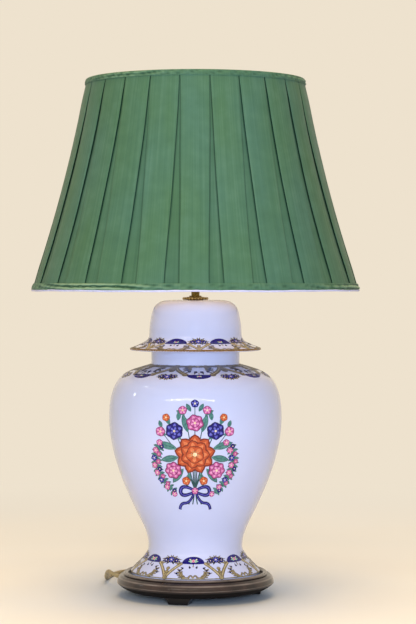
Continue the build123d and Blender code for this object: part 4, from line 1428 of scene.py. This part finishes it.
@dataclass
class BouquetArt:
    """Painted bouquet on the front of the jar, tied with a ribbon. Millimetres from its middle."""

    name: str = "front_bouquet"
    low: float = 100.0
    high: float = 300.0
    middle: float = 203.0
    radius: float = 116.0

    def draw(self) -> Canvas:
        """Draws stems, leaves, garlands, flowers and the bow.

        Returns:
            The painted bouquet.
        """
        canvas = Canvas()
        self._stems(canvas)
        self._leaves(canvas)
        self._garlands(canvas)
        self._flowers(canvas)
        self._bow(canvas)
        return canvas

    def _stems(self, canvas: Canvas) -> None:
        """Stems that rise from the tie and fan out below it.

        Args:
            canvas: Canvas to paint on.
        """
        for side in SIDES:
            for tip, pull in (((16, 64), (4, 30)), ((46, 36), (20, 8)), ((38, 54), (16, 24))):
                line = bend((side * 1.5, -44), (side * pull[0], pull[1]), (side * tip[0], tip[1]), 14)
                canvas.stroke(Paint.PINE, line, 1.7, 0.8)
            for reach in (4, 11):
                line = bend((side * 1.0, -48), (side * reach * 0.4, -58), (side * reach, -70), 6)
                canvas.stroke(Paint.PINE, line, 2.2, 1.8)
        canvas.stroke(Paint.PINE, bend((0, -44), (0, 20), (0, 72), 16), 1.8, 0.8)

    def _leaves(self, canvas: Canvas) -> None:
        """Leaves round the large flower and along the stems.

        Args:
            canvas: Canvas to paint on.
        """
        for side in SIDES:
            for x, y, angle, length, width in (
                (18, 24, -38, 25, 8.5), (24, 12, -74, 27, 9), (22, 0, -100, 25, 8.5), (16, -16, -140, 26, 9),
                (9, 34, -16, 24, 7.5), (38, 30, -66, 15, 6), (33, 44, -24, 14, 5.5), (13, 58, -64, 12, 4.5),
                (5, 62, -30, 12, 4.5), (8, -22, -168, 20, 7), (44, 40, -20, 10, 4.5), (22, 50, 8, 12, 5),
            ):
                canvas.outlined(Paint.PINE, Paint.TEAL, side * x, y, side * angle, length, width, 1)

    def _garlands(self, canvas: Canvas) -> None:
        """Small leaves and flowers along a hanging curve on both sides.

        Args:
            canvas: Canvas to paint on.
        """
        for side in SIDES:
            line = bend((side * 45, 20), (side * 72, -18), (side * 30, -54), 14)
            canvas.stroke(Paint.PINE, line, 1.2, 1.2)
            for index in range(1, len(line) - 1):
                before, after = line[index - 1], line[index + 1]
                heading = math.degrees(math.atan2(before[0] - after[0], after[1] - before[1]))
                for spread, length in ((-72, 8.4), (-28, 6.0), (28, 6.0), (72, 8.4)):
                    angle = heading + spread
                    canvas.outlined(Paint.PINE, Paint.TEAL, *line[index], angle, length, 2.6, index % 2)
            for index, (x, y) in enumerate(line):
                offset = 3.2 if index % 2 else -3.0
                bloom = Bloom.BLUE if index % 3 == 1 else Bloom.ROSE
                canvas.flower(bloom, x + offset, y, 4.3 - 0.9 * (index % 2), 5, 5, 23 * index)

    def _flowers(self, canvas: Canvas) -> None:
        """One large flower, smaller ones round it, and buds.

        Args:
            canvas: Canvas to paint on.
        """
        for petals, reach, layer, turn in ((9, 26, 6, 0), (7, 19, 12, 12), (5, 12, 18, 30)):
            canvas.flower(Bloom.CORAL, 0, 4, reach, petals, layer, turn)
        for x, y in circle(9, 4.6, 0, 4):
            canvas.dot(Paint.GILT, x, y, 0.8, 24)
        for bloom, x, y, reach, petals, turn in (
            (Bloom.ROSE, 31, -19, 12, 7, 8), (Bloom.BLUE, 27, 36, 11.5, 6, 5),
            (Bloom.ROSE, 46, 35, 6.4, 5, 15), (Bloom.ROSE, 16, 64, 5.6, 5, 0),
            (Bloom.CORAL, 38, 54, 5.0, 5, 20), (Bloom.CORAL, 13, -34, 6.0, 5, 10),
        ):
            for side in SIDES:
                canvas.flower(bloom, side * x, y, reach, petals, 6, side * turn)
                if reach > 10:
                    canvas.flower(bloom, side * x, y, reach * 0.56, 5, 12, side * (turn + 18))
        canvas.flower(Bloom.ROSE, 0, 47, 11, 6, 6, 15)
        canvas.flower(Bloom.ROSE, 0, 47, 6.2, 5, 12, 40)
        canvas.flower(Bloom.BLUE, 0, 73, 5.2, 5, 6)

    def _bow(self, canvas: Canvas) -> None:
        """Ribbon bow with two tails.

        Args:
            canvas: Canvas to paint on.
        """
        for side in SIDES:
            loop = bend((0, -49), (side * 22, -36), (side * 23, -51), 12)
            loop += bend((side * 23, -51), (side * 21, -61), (0, -50), 12)[1:]
            canvas.rimmed(Paint.NAVY, Paint.COBALT, loop, 2.6, 2.6, 6, 2.4)
            canvas.stroke(Paint.VIOLET, loop, 0.5, 0.5, 8, 0.5)
            tail = bend((side * 1, -50), (side * 7, -68), (side * 17, -68), 9)
            tail += bend((side * 17, -68), (side * 25, -68), (side * 27, -78), 8)[1:]
            canvas.rimmed(Paint.NAVY, Paint.COBALT, tail, 2.6, 4.0, 6)
            canvas.stroke(Paint.VIOLET, tail, 0.5, 0.8, 8)
        canvas.flower(Bloom.ROSE, 0, -49, 5.0, 5, 9)

    def build(self, nodes: Mapping[str, Piece], palette: Palette) -> None:
        """Paints the bouquet on the jar's front.

        Args:
            nodes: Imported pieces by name.
            palette: Materials.
        """
        surface = TurnedSurface.trace(nodes["porcelain_jar"], self.low, self.high)
        heights = [height for _, height in surface.path]
        canvas = self.draw()
        canvas.shift(surface.lengths[bisect_right(heights, self.middle)])
        coats = canvas.meshes(self.name, surface, FRONT, self.radius, palette)
        show_piece(self.name, join_meshes(self.name, coats), "lamp")


# Shade

@dataclass
class PleatedShade:
    """Box-pleated cover, its bindings and its lining. Millimetres."""

    nodes: Mapping[str, Piece]
    pleats: int = 24
    panel: float = 38.5
    rise: float = 1.6
    stand_off: float = 0.9
    crown: float = 0.35
    fold: float = 0.85
    cloth: float = 0.8
    tuck: float = 5.0
    free_run: float = 34.0
    levels: int = 56
    ripple: float = 1.3
    sway: float = 7.0
    merge: float = 0.04
    pleat_crease: float = 70.0
    wire_room: float = 5.2
    lining_levels: int = 18
    top_binding: float = 8.0
    top_slack: float = 0.45
    bottom_binding: float = 9.5
    bottom_slack: float = 1.1
    binding_steps: int = 600
    face_steps: int = 15
    hem_radius: float = 1.4
    hem_corners: int = 10
    cut_allowance: float = 1.3

    def __post_init__(self) -> None:
        """Reads the heights and the cover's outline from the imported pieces."""
        margin = 0.2
        self.low, self.high = (corner.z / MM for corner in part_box("shade_cover"))
        self.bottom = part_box("shade_bottom_trim")[0].z / MM
        self.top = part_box("shade_top_trim")[1].z / MM
        self.outline = TurnedSurface.trace(self.nodes["shade_cover"], self.low + margin, self.high - margin)

    def cone(self, height: float) -> float:
        """Radius of the flat cloth between the pleats at a height."""
        return self.outline.radius_at(height) - self.rise

    def section(self, height: float) -> list[Point3]:
        """Right half of one pleat at a height.

        Args:
            height: Height in the lamp's frame.

        Returns:
            Places across the pleat, heights over the flat cloth, and the painted shade at each one.
        """
        free_below = ease(self.low, self.low + self.free_run, height)
        free = free_below * ease(self.high, self.high - self.free_run, height)
        top = self.rise + self.stand_off * free
        crown = self.crown * free
        under = top - self.fold
        edge = self.panel / 2
        gap = math.pi / self.pleats * self.cone(height) - edge
        # The third value of each corner is painted shade: none on the panel, deepest under the fold's edge
        # and in the tuck, fading over the flat cloth.
        return [
            (0.0, top + crown, 0.0),
            (edge * 0.45, top + crown * 0.8, 0.0),
            (edge * 0.8, top + crown * 0.35, 0.0),
            (edge - 1.0, top, 0.0),
            (edge - 0.25, top - self.fold * 0.16, 0.0),
            (edge, top - self.fold * 0.5, 0.15),
            (edge - 0.25, under + self.fold * 0.16, 0.6),
            (edge - 1.0, under, 1.0),
            (edge - self.tuck, under - 0.1, 1.0),
            (edge - self.tuck - 0.4, under * 0.5, 1.0),
            (edge - self.tuck, 0.06, 1.0),
            (edge - 0.4, 0.02, 0.95),
            (edge + min(0.6, gap * 0.4), 0.0, 0.55),
            (edge + min(2.2, gap * 0.7), 0.0, 0.12),
        ]

    def pleat(self) -> Mesh:
        """One pleat at the front, from the middle of one gap to the middle of the next.

        Returns:
            The mesh, open at its two sides.
        """
        half = math.pi / self.pleats
        inner_shares = (1, 0.5, 0, -0.5, -1)
        rows = []
        for height in evenly(self.low, self.high, self.levels):
            flat = self.cone(height)
            section = self.section(height)
            right = [(across / (flat + lift), flat + lift, fold) for across, lift, fold in section]
            right.append((half, flat, 0.06))
            left = [(-angle, radius, fold) for angle, radius, fold in reversed(right[1:])]
            inner = [(half * share, flat - self.cloth, 0.0) for share in inner_shares]
            outline = left + right + inner
            rows.append([(FRONT + angle, radius, height, fold) for angle, radius, fold in outline])
        points = [
            (radius * MM * math.cos(angle), radius * MM * math.sin(angle), height * MM)
            for row in rows for angle, radius, height, _ in row
        ]
        width = len(rows[0])
        outer_end = width - len(inner_shares) - 1
        last = self.levels * width
        faces = []
        for low in range(0, last, width):
            high = low + width
            for corner in range(width - 1):
                if corner != outer_end:
                    faces.append((low + corner, low + corner + 1, high + corner + 1, high + corner))
        faces.append(tuple(range(width - 1, -1, -1)))
        faces.append(tuple(range(last, last + width)))
        mesh = bpy.data.meshes.new("pleat")
        mesh.from_pydata(points, [], faces)
        mark_fold_shading(mesh, [fold for row in rows for _, _, _, fold in row])
        return mesh

    def cover(self, repeat: RoundRepeat, silk: Material) -> Piece:
        """Pleated cover, repeated round the shade and softly rippled.

        Args:
            repeat: Tree that repeats one pleat round the shade.
            silk: Material.

        Returns:
            The new piece.
        """
        mesh = repeat.apply(
            self.pleat(), self.pleats, silk, Merge=self.merge * MM, Ripple=self.ripple * MM,
            Sway=self.sway * MM, Low=self.low * MM, High=self.high * MM,
        )
        smooth(mesh, self.pleat_crease)
        return show_piece("pleated_cover", mesh, "shade", stands_for=("shade_cover",))

    @staticmethod
    def slack(angle: float) -> float:
        """How slack a binding lies in a direction, from 0 to 1."""
        return (0.5 + 0.5 * math.sin(3 * angle + TURN / 3)) ** 2

    def wrinkle(self, angle: float, share: float, loose: float) -> float:
        """Height of the wrinkles of a strip of cloth that is pulled round a curve.

        Args:
            angle: Direction round the axis.
            share: Place across the strip, from 0 at the shade's edge to 1.
            loose: Height of the long folds where the strip is slack.

        Returns:
            Height in millimetres, about zero.
        """
        long_fold = math.sin(TURN * 1.7 * share + 9 * angle + 1.6 * math.sin(7 * angle))
        pucker = math.sin(43 * angle + 4.5 * share + 2.2 * math.sin(11 * angle))
        crimp = math.sin(97 * angle - 6.0 * share + 1.7 * math.sin(17 * angle + 1.0))
        return loose * self.slack(angle) * long_fold + 0.3 * pucker + 0.22 * crimp

    def profile(self, depth: float) -> list[Point2]:
        """Section of a folded strip over an edge of the shade, round the wires.

        Args:
            depth: Height of the strip.

        Returns:
            Corners as the way out from the flat cloth and the way in from the edge: one at the edge, then
            those of the outer face, then the rest.
        """
        outer = self.rise + 0.3
        inner = -self.wire_room - self.cloth - 0.3
        corners = [(outer + 0.2, 0.15)]
        for share in evenly(0.06, 0.94, self.face_steps):
            corners.append((outer + 0.3 + 0.85 * math.sin(math.pi * share) ** 0.5, depth * share))
        return corners + [
            (outer + 0.25, depth), (outer, depth * 0.97), (outer, 1.4), (inner, 1.4), (inner, depth * 0.97),
            (inner - 0.4, depth), (inner - 0.85, depth * 0.9), (inner - 0.9, depth * 0.4), (inner - 0.6, 0.5),
            (inner + 0.4, 0.05),
        ]

    def binding(self, name: str, node: str, edge: float, direction: float, depth: float, loose: float,
                silk: Material) -> Piece:
        """Folded strip of the cover's cloth over one edge of the shade.

        Args:
            name: Name of the piece.
            node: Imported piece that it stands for.
            edge: Height of the shade's edge.
            direction: 1 where the strip reaches up from the edge, -1 where it reaches down.
            depth: Height of the strip.
            loose: Height of its long lens-shaped folds where the strip is slack.
            silk: Material.

        Returns:
            The new piece.
        """
        profile = self.profile(depth)

        def section(angle: float) -> list[Point3]:
            """Section at one direction, with the wrinkles of a strip pulled round a curve.

            Args:
                angle: Direction round the axis.

            Returns:
                Corners as radius, height and painted shading.
            """
            corners = []
            for number, (out, rise) in enumerate(profile):
                height = edge + direction * rise
                wrinkle = 0.0
                if 1 <= number <= self.face_steps + 1:
                    swell = math.sin(math.pi * rise / depth) ** 0.5
                    wrinkle = self.wrinkle(angle, rise / depth, loose) * swell
                # Painted shade in the wrinkles' valleys and, where the strip is slack, painted highlights on
                # their ridges.
                fold = min(-0.1 - wrinkle, 0.6)
                if fold < 0:
                    fold = max(fold, -0.6) * self.slack(angle) * loose
                corners.append((self.cone(height) + out + wrinkle, height, fold))
            return corners

        mesh = ring_mesh(name, section, self.binding_steps, 65.0)
        return show_piece(name, mesh, "shade", silk, (node,))

    def lining(self, cloth: Material) -> Piece:
        """Stretched lining inside the wires.

        Args:
            cloth: Material.

        Returns:
            The new piece.
        """
        heights = evenly(self.low, self.high, self.lining_levels)
        outer = [(self.cone(height) - self.wire_room, height, 0.0) for height in heights]
        inner = [(radius - self.cloth, height, fold) for radius, height, fold in reversed(outer)]
        mesh = ring_mesh("cream_lining", lambda angle: outer + inner, 180)
        return show_piece("cream_lining", mesh, "shade", cloth, ("shade_lining",))

    def hem(self, cloth: Material) -> Piece:
        """Narrow roll of pale cloth that shows under the bottom binding.

        Args:
            cloth: Material.

        Returns:
            The new piece.
        """
        middle = self.cone(self.bottom) + self.rise - 0.2

        def section(angle: float) -> list[Point3]:
            """Round section that wanders a little up and down."""
            level = self.bottom - 0.3 + (0.25 * math.sin(7 * angle) + 0.15 * math.sin(19 * angle + 1.0))
            return [(*corner, 0.0) for corner in circle(self.hem_corners, self.hem_radius, middle, level)]

        mesh = ring_mesh("lining_hem", section, 300, 60.0)
        return show_piece("lining_hem", mesh, "shade", cloth)

    def build(self, repeat: RoundRepeat, palette: Palette) -> None:
        """Args:
            repeat: Tree that repeats one pleat round the shade.
            palette: Materials.
        """
        silk = palette.material(Finish.SILK)
        cover = self.cover(repeat, silk)
        low_strip = self.binding(
            "bottom_binding", "shade_bottom_trim", self.bottom, 1, self.bottom_binding, self.bottom_slack,
            silk,
        )
        high_strip = self.binding(
            "top_binding", "shade_top_trim", self.top, -1, self.top_binding, self.top_slack, silk
        )
        inside = self.lining(palette.material(Finish.LINING))
        hem = self.hem(palette.material(Finish.HEM))
        slant = math.hypot(self.high - self.low, self.cone(self.low) - self.cone(self.high)) * MM
        around = TURN * self.cone(self.low) * MM
        cone_area = math.pi * (self.cone(self.low) + self.cone(self.high)) * MM * slant


# Flex

@dataclass
class LampFlex:
    """Flex from the strain relief round to a tied coil and its plug. Millimetres."""

    diameter: float = 6.0
    length: float = 1853.0
    lead: tuple[Point3, ...] = (
        (-107.857, 64.016, 16.53), (-120.428, 76.587, 19.345), (-127, 97, 21), (-131, 121, 10),
        (-131, 144, 3), (-128, 169, 3), (-121, 195, 3), (-107, 217, 3), (-87, 232, 3), (-66, 243.5, 4),
        (-46, 245, 4),
    )
    tail: tuple[Point3, ...] = ((-34, 241.75, 10.5), (-14, 241.75, 10.5), (4.794, 234.91, 10.5))
    coil_centre: Point2 = (-40.0, 196.5)
    coil_radius: float = 48.5
    coil_pitch: float = 6.5
    coil_half_turns: int = 7
    coil_low: float = 4.0
    coil_step: float = 6.5
    points_per_half: int = 8
    tie_thickness: float = 0.7
    tie_steps: int = 40

    def radii(self) -> list[float]:
        """Radius of the coil at each half turn: in on the lower layer and out on the upper one.

        Returns:
            The radii.
        """
        half_pitch = self.coil_pitch / 2
        radii = [self.coil_radius - half_pitch * index for index in range(self.coil_half_turns + 2)]
        radii.append(radii[-1] + self.coil_pitch)
        for _ in range(self.coil_half_turns - 2):
            radii.append(radii[-1] + half_pitch)
        return radii

    def coil(self) -> list[Point3]:
        """Points of the coil's turns, clockwise from its far side.

        Returns:
            The points.
        """
        radii = self.radii()
        spread = 1 / math.cos(math.pi / (4 * self.points_per_half))
        points = []
        for half, (radius, following) in enumerate(zip(radii, radii[1:])):
            for share in evenly(0.0, 1.0, self.points_per_half)[:-1]:
                reach = (radius + (following - radius) * share) * spread
                angle = math.pi / 2 - math.pi * (half + share)
                climbed = ease(0.0, 1.0, half + share - self.coil_half_turns)
                points.append((
                    self.coil_centre[0] + reach * math.cos(angle),
                    self.coil_centre[1] + reach * math.sin(angle),
                    self.coil_low + self.coil_step * climbed,
                ))
        return points

    def build(self, palette: Palette) -> None:
        """Args:
            palette: Materials.
        """
        route = list(self.lead) + self.coil()[1:] + list(self.tail)
        curve = bpy.data.curves.new("lamp_flex", "CURVE")
        curve.dimensions = "3D"
        curve.bevel_depth = self.diameter / 2 * MM
        curve.bevel_resolution = 5
        curve.resolution_u = 6
        curve.use_fill_caps = True
        line = curve.splines.new("NURBS")
        line.points.add(len(route) - 1)
        for point, place in zip(line.points, route):
            point.co = (place[0] * MM, place[1] * MM, place[2] * MM, 1.0)
        line.order_u = 3
        line.use_endpoint_u = True
        flex = show_piece(
            "lamp_flex", curve, "lamp", palette.material(Finish.FLEX),
            ("cord_lead", "cord_coil", "cord_tail"),
        )
        tie = self.tie(palette.material(Finish.DARK_PLASTIC))

    def tie(self, material: Material) -> Piece:
        """Soft strap pulled round the strands on the near side of the coil.

        Args:
            material: Material.

        Returns:
            The new piece.
        """
        low, high = (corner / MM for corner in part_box("cord_tie"))
        middle = (low + high) / 2
        half = (high - low) / 2
        points = []
        faces = []
        for step in range(self.tie_steps):
            angle = TURN * step / self.tie_steps
            across = math.copysign(abs(math.cos(angle)) ** 0.45, math.cos(angle))
            upward = math.copysign(abs(math.sin(angle)) ** 0.6, math.sin(angle))
            for side in SIDES:
                for inset in (0.0, self.tie_thickness):
                    points.append(Vector((
                        middle.x + side * half.x * (0.9 + 0.1 * math.cos(2 * angle)),
                        middle.y + (half.y - inset) * across,
                        middle.z + (half.z - inset) * upward,
                    )) * MM)
            first = step * 4
            after = (step + 1) % self.tie_steps * 4
            for one, two in ((0, 1), (1, 3), (3, 2), (2, 0)):
                faces.append((first + one, first + two, after + two, after + one))
        mesh = closed_mesh("coil_tie", points, faces, 50.0)
        return show_piece("coil_tie", mesh, "lamp", material, ("cord_tie",))


# Brass trim

@dataclass
class BrassTrim:
    """Grip ribs round the ring that clamps the shade carrier, and beads round the vase cap. Millimetres."""

    ribs: int = 36
    rib_proud: float = 0.5
    rib_root: float = 0.4
    rib_width: float = 1.6
    rib_margin: float = 0.7
    beads: int = 24
    bead_radius: float = 1.8
    bead_flat: float = 0.85
    bead_inset: float = 0.35
    bead_seat: float = 0.9
    bead_corners: int = 10
    bead_steps: int = 6

    def rib(self) -> Mesh:
        """One rounded rib on the ring's edge.

        Returns:
            The mesh.
        """
        low, high = (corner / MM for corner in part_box("shade_ring"))
        ends = (low.z + self.rib_margin, high.z - self.rib_margin)
        levels = (ends[0], ends[0] + self.rib_margin, ends[1] - self.rib_margin, ends[1])
        points = []
        for height, proud in zip(levels, (0.0, self.rib_proud, self.rib_proud, 0.0)):
            for across, out in ((-0.5, -self.rib_root), (-0.3, proud), (0.3, proud), (0.5, -self.rib_root)):
                points.append(Vector((high.x + out, across * self.rib_width, height)) * MM)
        faces = [(3, 2, 1, 0), (12, 13, 14, 15)]
        for level in range(0, 12, 4):
            for corner in range(4):
                after = (corner + 1) % 4
                faces.append((level + corner, level + after, level + 4 + after, level + 4 + corner))
        return closed_mesh("ring_ribs", points, faces)

    def bead(self) -> Mesh:
        """One bead on the cap's rim, a little flattened towards the axis.

        Returns:
            The mesh.
        """
        low, high = (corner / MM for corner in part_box("vase_cap"))
        radius = self.bead_radius
        middle = Vector((high.x - radius * self.bead_inset, 0.0, low.z + radius * self.bead_seat))
        round_points = []
        for tilt in evenly(0.0, math.pi, self.bead_steps)[1:-1]:
            for x, y in circle(self.bead_corners, radius * math.sin(tilt)):
                round_points.append((-y * self.bead_flat, x, radius * math.cos(tilt)))
        points = [(0.0, 0.0, radius), *round_points, (0.0, 0.0, -radius)]
        count = self.bead_corners
        last = len(points) - 1
        faces = []
        for index in range(count):
            after = (index + 1) % count
            faces.append((0, 1 + index, 1 + after))
            for first in range(1, last - count, count):
                faces.append((first + index, first + count + index, first + count + after, first + after))
            faces.append((last, last - count + after, last - count + index))
        return closed_mesh("cap_beads", [(middle + Vector(point)) * MM for point in points], faces, 90.0)

    def build(self, repeat: RoundRepeat, palette: Palette) -> None:
        """Repeats the rib and the bead round the axis.

        Args:
            repeat: Tree that repeats one part round the axis.
            palette: Materials.
        """
        for part, count, finish in (
            (self.rib(), self.ribs, Finish.BRASS), (self.bead(), self.beads, Finish.BRIGHT_BRASS),
        ):
            name = part.name
            show_piece(name, repeat.apply(part, count, palette.material(finish)), "lamp")


# Stage

@dataclass(frozen=True)
class Lamp:
    """One soft studio light. Metres and watts."""

    name: str
    place: Point3
    aim: Point3
    size: Point2
    power: float
    colour: Colour = (255, 255, 255)
    mirrored: bool = False

    def build(self) -> None:
        """Adds the light and points it at its aim."""
        light = bpy.data.lights.new(self.name, "AREA")
        light.shape = "RECTANGLE"
        light.size, light.size_y = self.size
        light.energy = self.power
        light.color = paint_colour(*self.colour)[:3]
        holder = add_object(self.name, light)
        holder.location = self.place
        holder.rotation_euler = (Vector(self.aim) - Vector(self.place)).to_track_quat("-Z", "Y").to_euler()
        holder.visible_camera = False
        holder.visible_glossy = self.mirrored


LAMPS = (
    Lamp("front", (0.1, -2.7, 0.48), (0, 0, 0.36), (0.9, 0.5), 51.0, (188, 216, 252)),
    Lamp("high_front", (-0.1, -1.3, 2.3), (0, 0, 0.05), (1.0, 0.6), 22.0, (255, 216, 156)),
    Lamp("left_fill", (-1.9, -1.9, 0.6), (0, 0, 0.38), (0.9, 0.9), 3.0, (250, 236, 160)),
    Lamp("overhead", (0.0, 0.0, 2.5), (0, 0, 0), (1.3, 1.3), 42.0, (255, 216, 156)),
    Lamp("strip", (-0.2, -1.75, 1.02), (0, 0, 0.27), (2.3, 0.05), 6.0, (255, 244, 226), True),
    Lamp("window_low", (-1.5, 0.05, 0.8), (0, 0, 0.28), (0.07, 0.11), 0.3, mirrored=True),
    Lamp("window_high", (-1.3, -0.1, 1.35), (0, 0, 0.28), (0.07, 0.11), 0.3, mirrored=True),
    Lamp("back", (0.6, 2.2, 1.6), (0, 0, 0.4), (1.4, 1.4), 14.0),
)


@dataclass
class Studio:
    """Camera, floor, background and lights. Metres and degrees."""

    eye: Point3 = (0.0175, -2.862, 0.4397)
    pitch: float = -0.87
    lens: float = 118.3
    sight: float = 50.0
    backdrop: Colour = (238, 226, 206)
    floor_colour: Colour = (224, 229, 234)
    floor_radius: float = 9.0
    floor_corners: int = 96
    fade_start: float = 0.4
    fade_end: float = 1.6
    sky: float = 0.27
    sky_colour: tuple[float, float, float, float] = (1.0, 0.97, 0.93, 1.0)

    def camera(self) -> None:
        """Sets the camera at the photograph's place and angle."""
        lens = bpy.data.cameras.new("photo_camera")
        lens.lens = self.lens
        lens.clip_end = self.sight
        holder = add_object("photo_camera", lens)
        holder.location = self.eye
        holder.rotation_euler = (math.radians(90 + self.pitch), 0.0, 0.0)
        bpy.context.scene.camera = holder

    @staticmethod
    def seen(sheet: Nodes) -> Socket:
        """Whether a ray comes from the camera, a glossy surface or glass.

        Args:
            sheet: Tree of a material or the world.

        Returns:
            1 for such a ray, or else 0.
        """
        path = sheet.add("ShaderNodeLightPath").outputs
        either = sheet.math("MAXIMUM", path["Is Camera Ray"], path["Is Glossy Ray"])
        return sheet.math("MAXIMUM", either, path["Is Transmission Ray"])

    def floor(self) -> None:
        """Round pale floor that runs into the background further out and is clear from below."""
        rim = [(x, y, 0.0) for x, y in circle(self.floor_corners, self.floor_radius)]
        mesh = bpy.data.meshes.new("studio_floor")
        mesh.from_pydata(rim, [], [tuple(range(self.floor_corners))])
        surface = Surface("studio_floor", Roughness=0.75, Specular_IOR_Level=0.1)
        backdrop = paint_colour(*self.backdrop)
        place = surface.place()
        tone = surface.span(surface.noise(place, 3.0), 0.0, 0.12)
        shade = surface.mix(tone, paint_colour(*self.floor_colour), backdrop)
        surface.feed(surface.shader.inputs["Base Color"], shade)
        reach = surface.add("ShaderNodeVectorMath", {0: place}, operation="LENGTH").outputs["Value"]
        fade = {0: reach, 1: self.fade_start, 2: self.fade_end}
        far = surface.add("ShaderNodeMapRange", fade, interpolation_type="SMOOTHSTEP").outputs[0]
        back = surface.add("ShaderNodeEmission", {"Color": backdrop, "Strength": 1.0})
        share = surface.math("MULTIPLY", far, self.seen(surface))
        top = surface.add("ShaderNodeMixShader", {0: share, 1: surface.shader.outputs[0], 2: back.outputs[0]})
        below = surface.add("ShaderNodeNewGeometry").outputs["Backfacing"]
        clear = surface.add("ShaderNodeBsdfTransparent").outputs[0]
        both = surface.add("ShaderNodeMixShader", {0: below, 1: top.outputs[0], 2: clear})
        surface.feed(surface.tree.nodes["Material Output"].inputs["Surface"], both.outputs[0])
        mesh.materials.append(surface.material)
        add_object("studio_floor", mesh)

    def world(self) -> None:
        """Even pale light, with the background for what the camera, gloss and glass see."""
        world = bpy.data.worlds.new("studio_world")
        world.use_nodes = True
        bpy.context.scene.world = world
        sheet = Nodes(world.node_tree)
        sheet.tree.nodes.clear()
        light = sheet.add("ShaderNodeBackground", {"Color": self.sky_colour, "Strength": self.sky})
        back = sheet.add("ShaderNodeBackground", {"Color": paint_colour(*self.backdrop), "Strength": 1.0})
        shaders = {0: self.seen(sheet), 1: light.outputs[0], 2: back.outputs[0]}
        both = sheet.add("ShaderNodeMixShader", shaders)
        sheet.add("ShaderNodeOutputWorld", {"Surface": both.outputs[0]})

    def build(self) -> None:
        """Builds the camera, the floor, the background and the lights."""
        bpy.context.scene.view_settings.view_transform = "Standard"
        self.camera()
        self.floor()
        self.world()
        for lamp in LAMPS:
            lamp.build()


def main() -> None:
    """Builds the lamp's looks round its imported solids."""
    logging.basicConfig(level=logging.INFO, format="%(name)s: %(message)s")
    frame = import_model()
    nodes = frame["nodes"]
    Studio().build()
    palette = Palette()
    LampFlex().build(palette)
    dress_packed(nodes, palette)
    repeat = RoundRepeat()
    for border in BORDERS:
        border.build(nodes, repeat, palette)
    BouquetArt().build(nodes, palette)
    PleatedShade(nodes).build(repeat, palette)
    BrassTrim().build(repeat, palette)


if __name__ == "__main__":
    main()
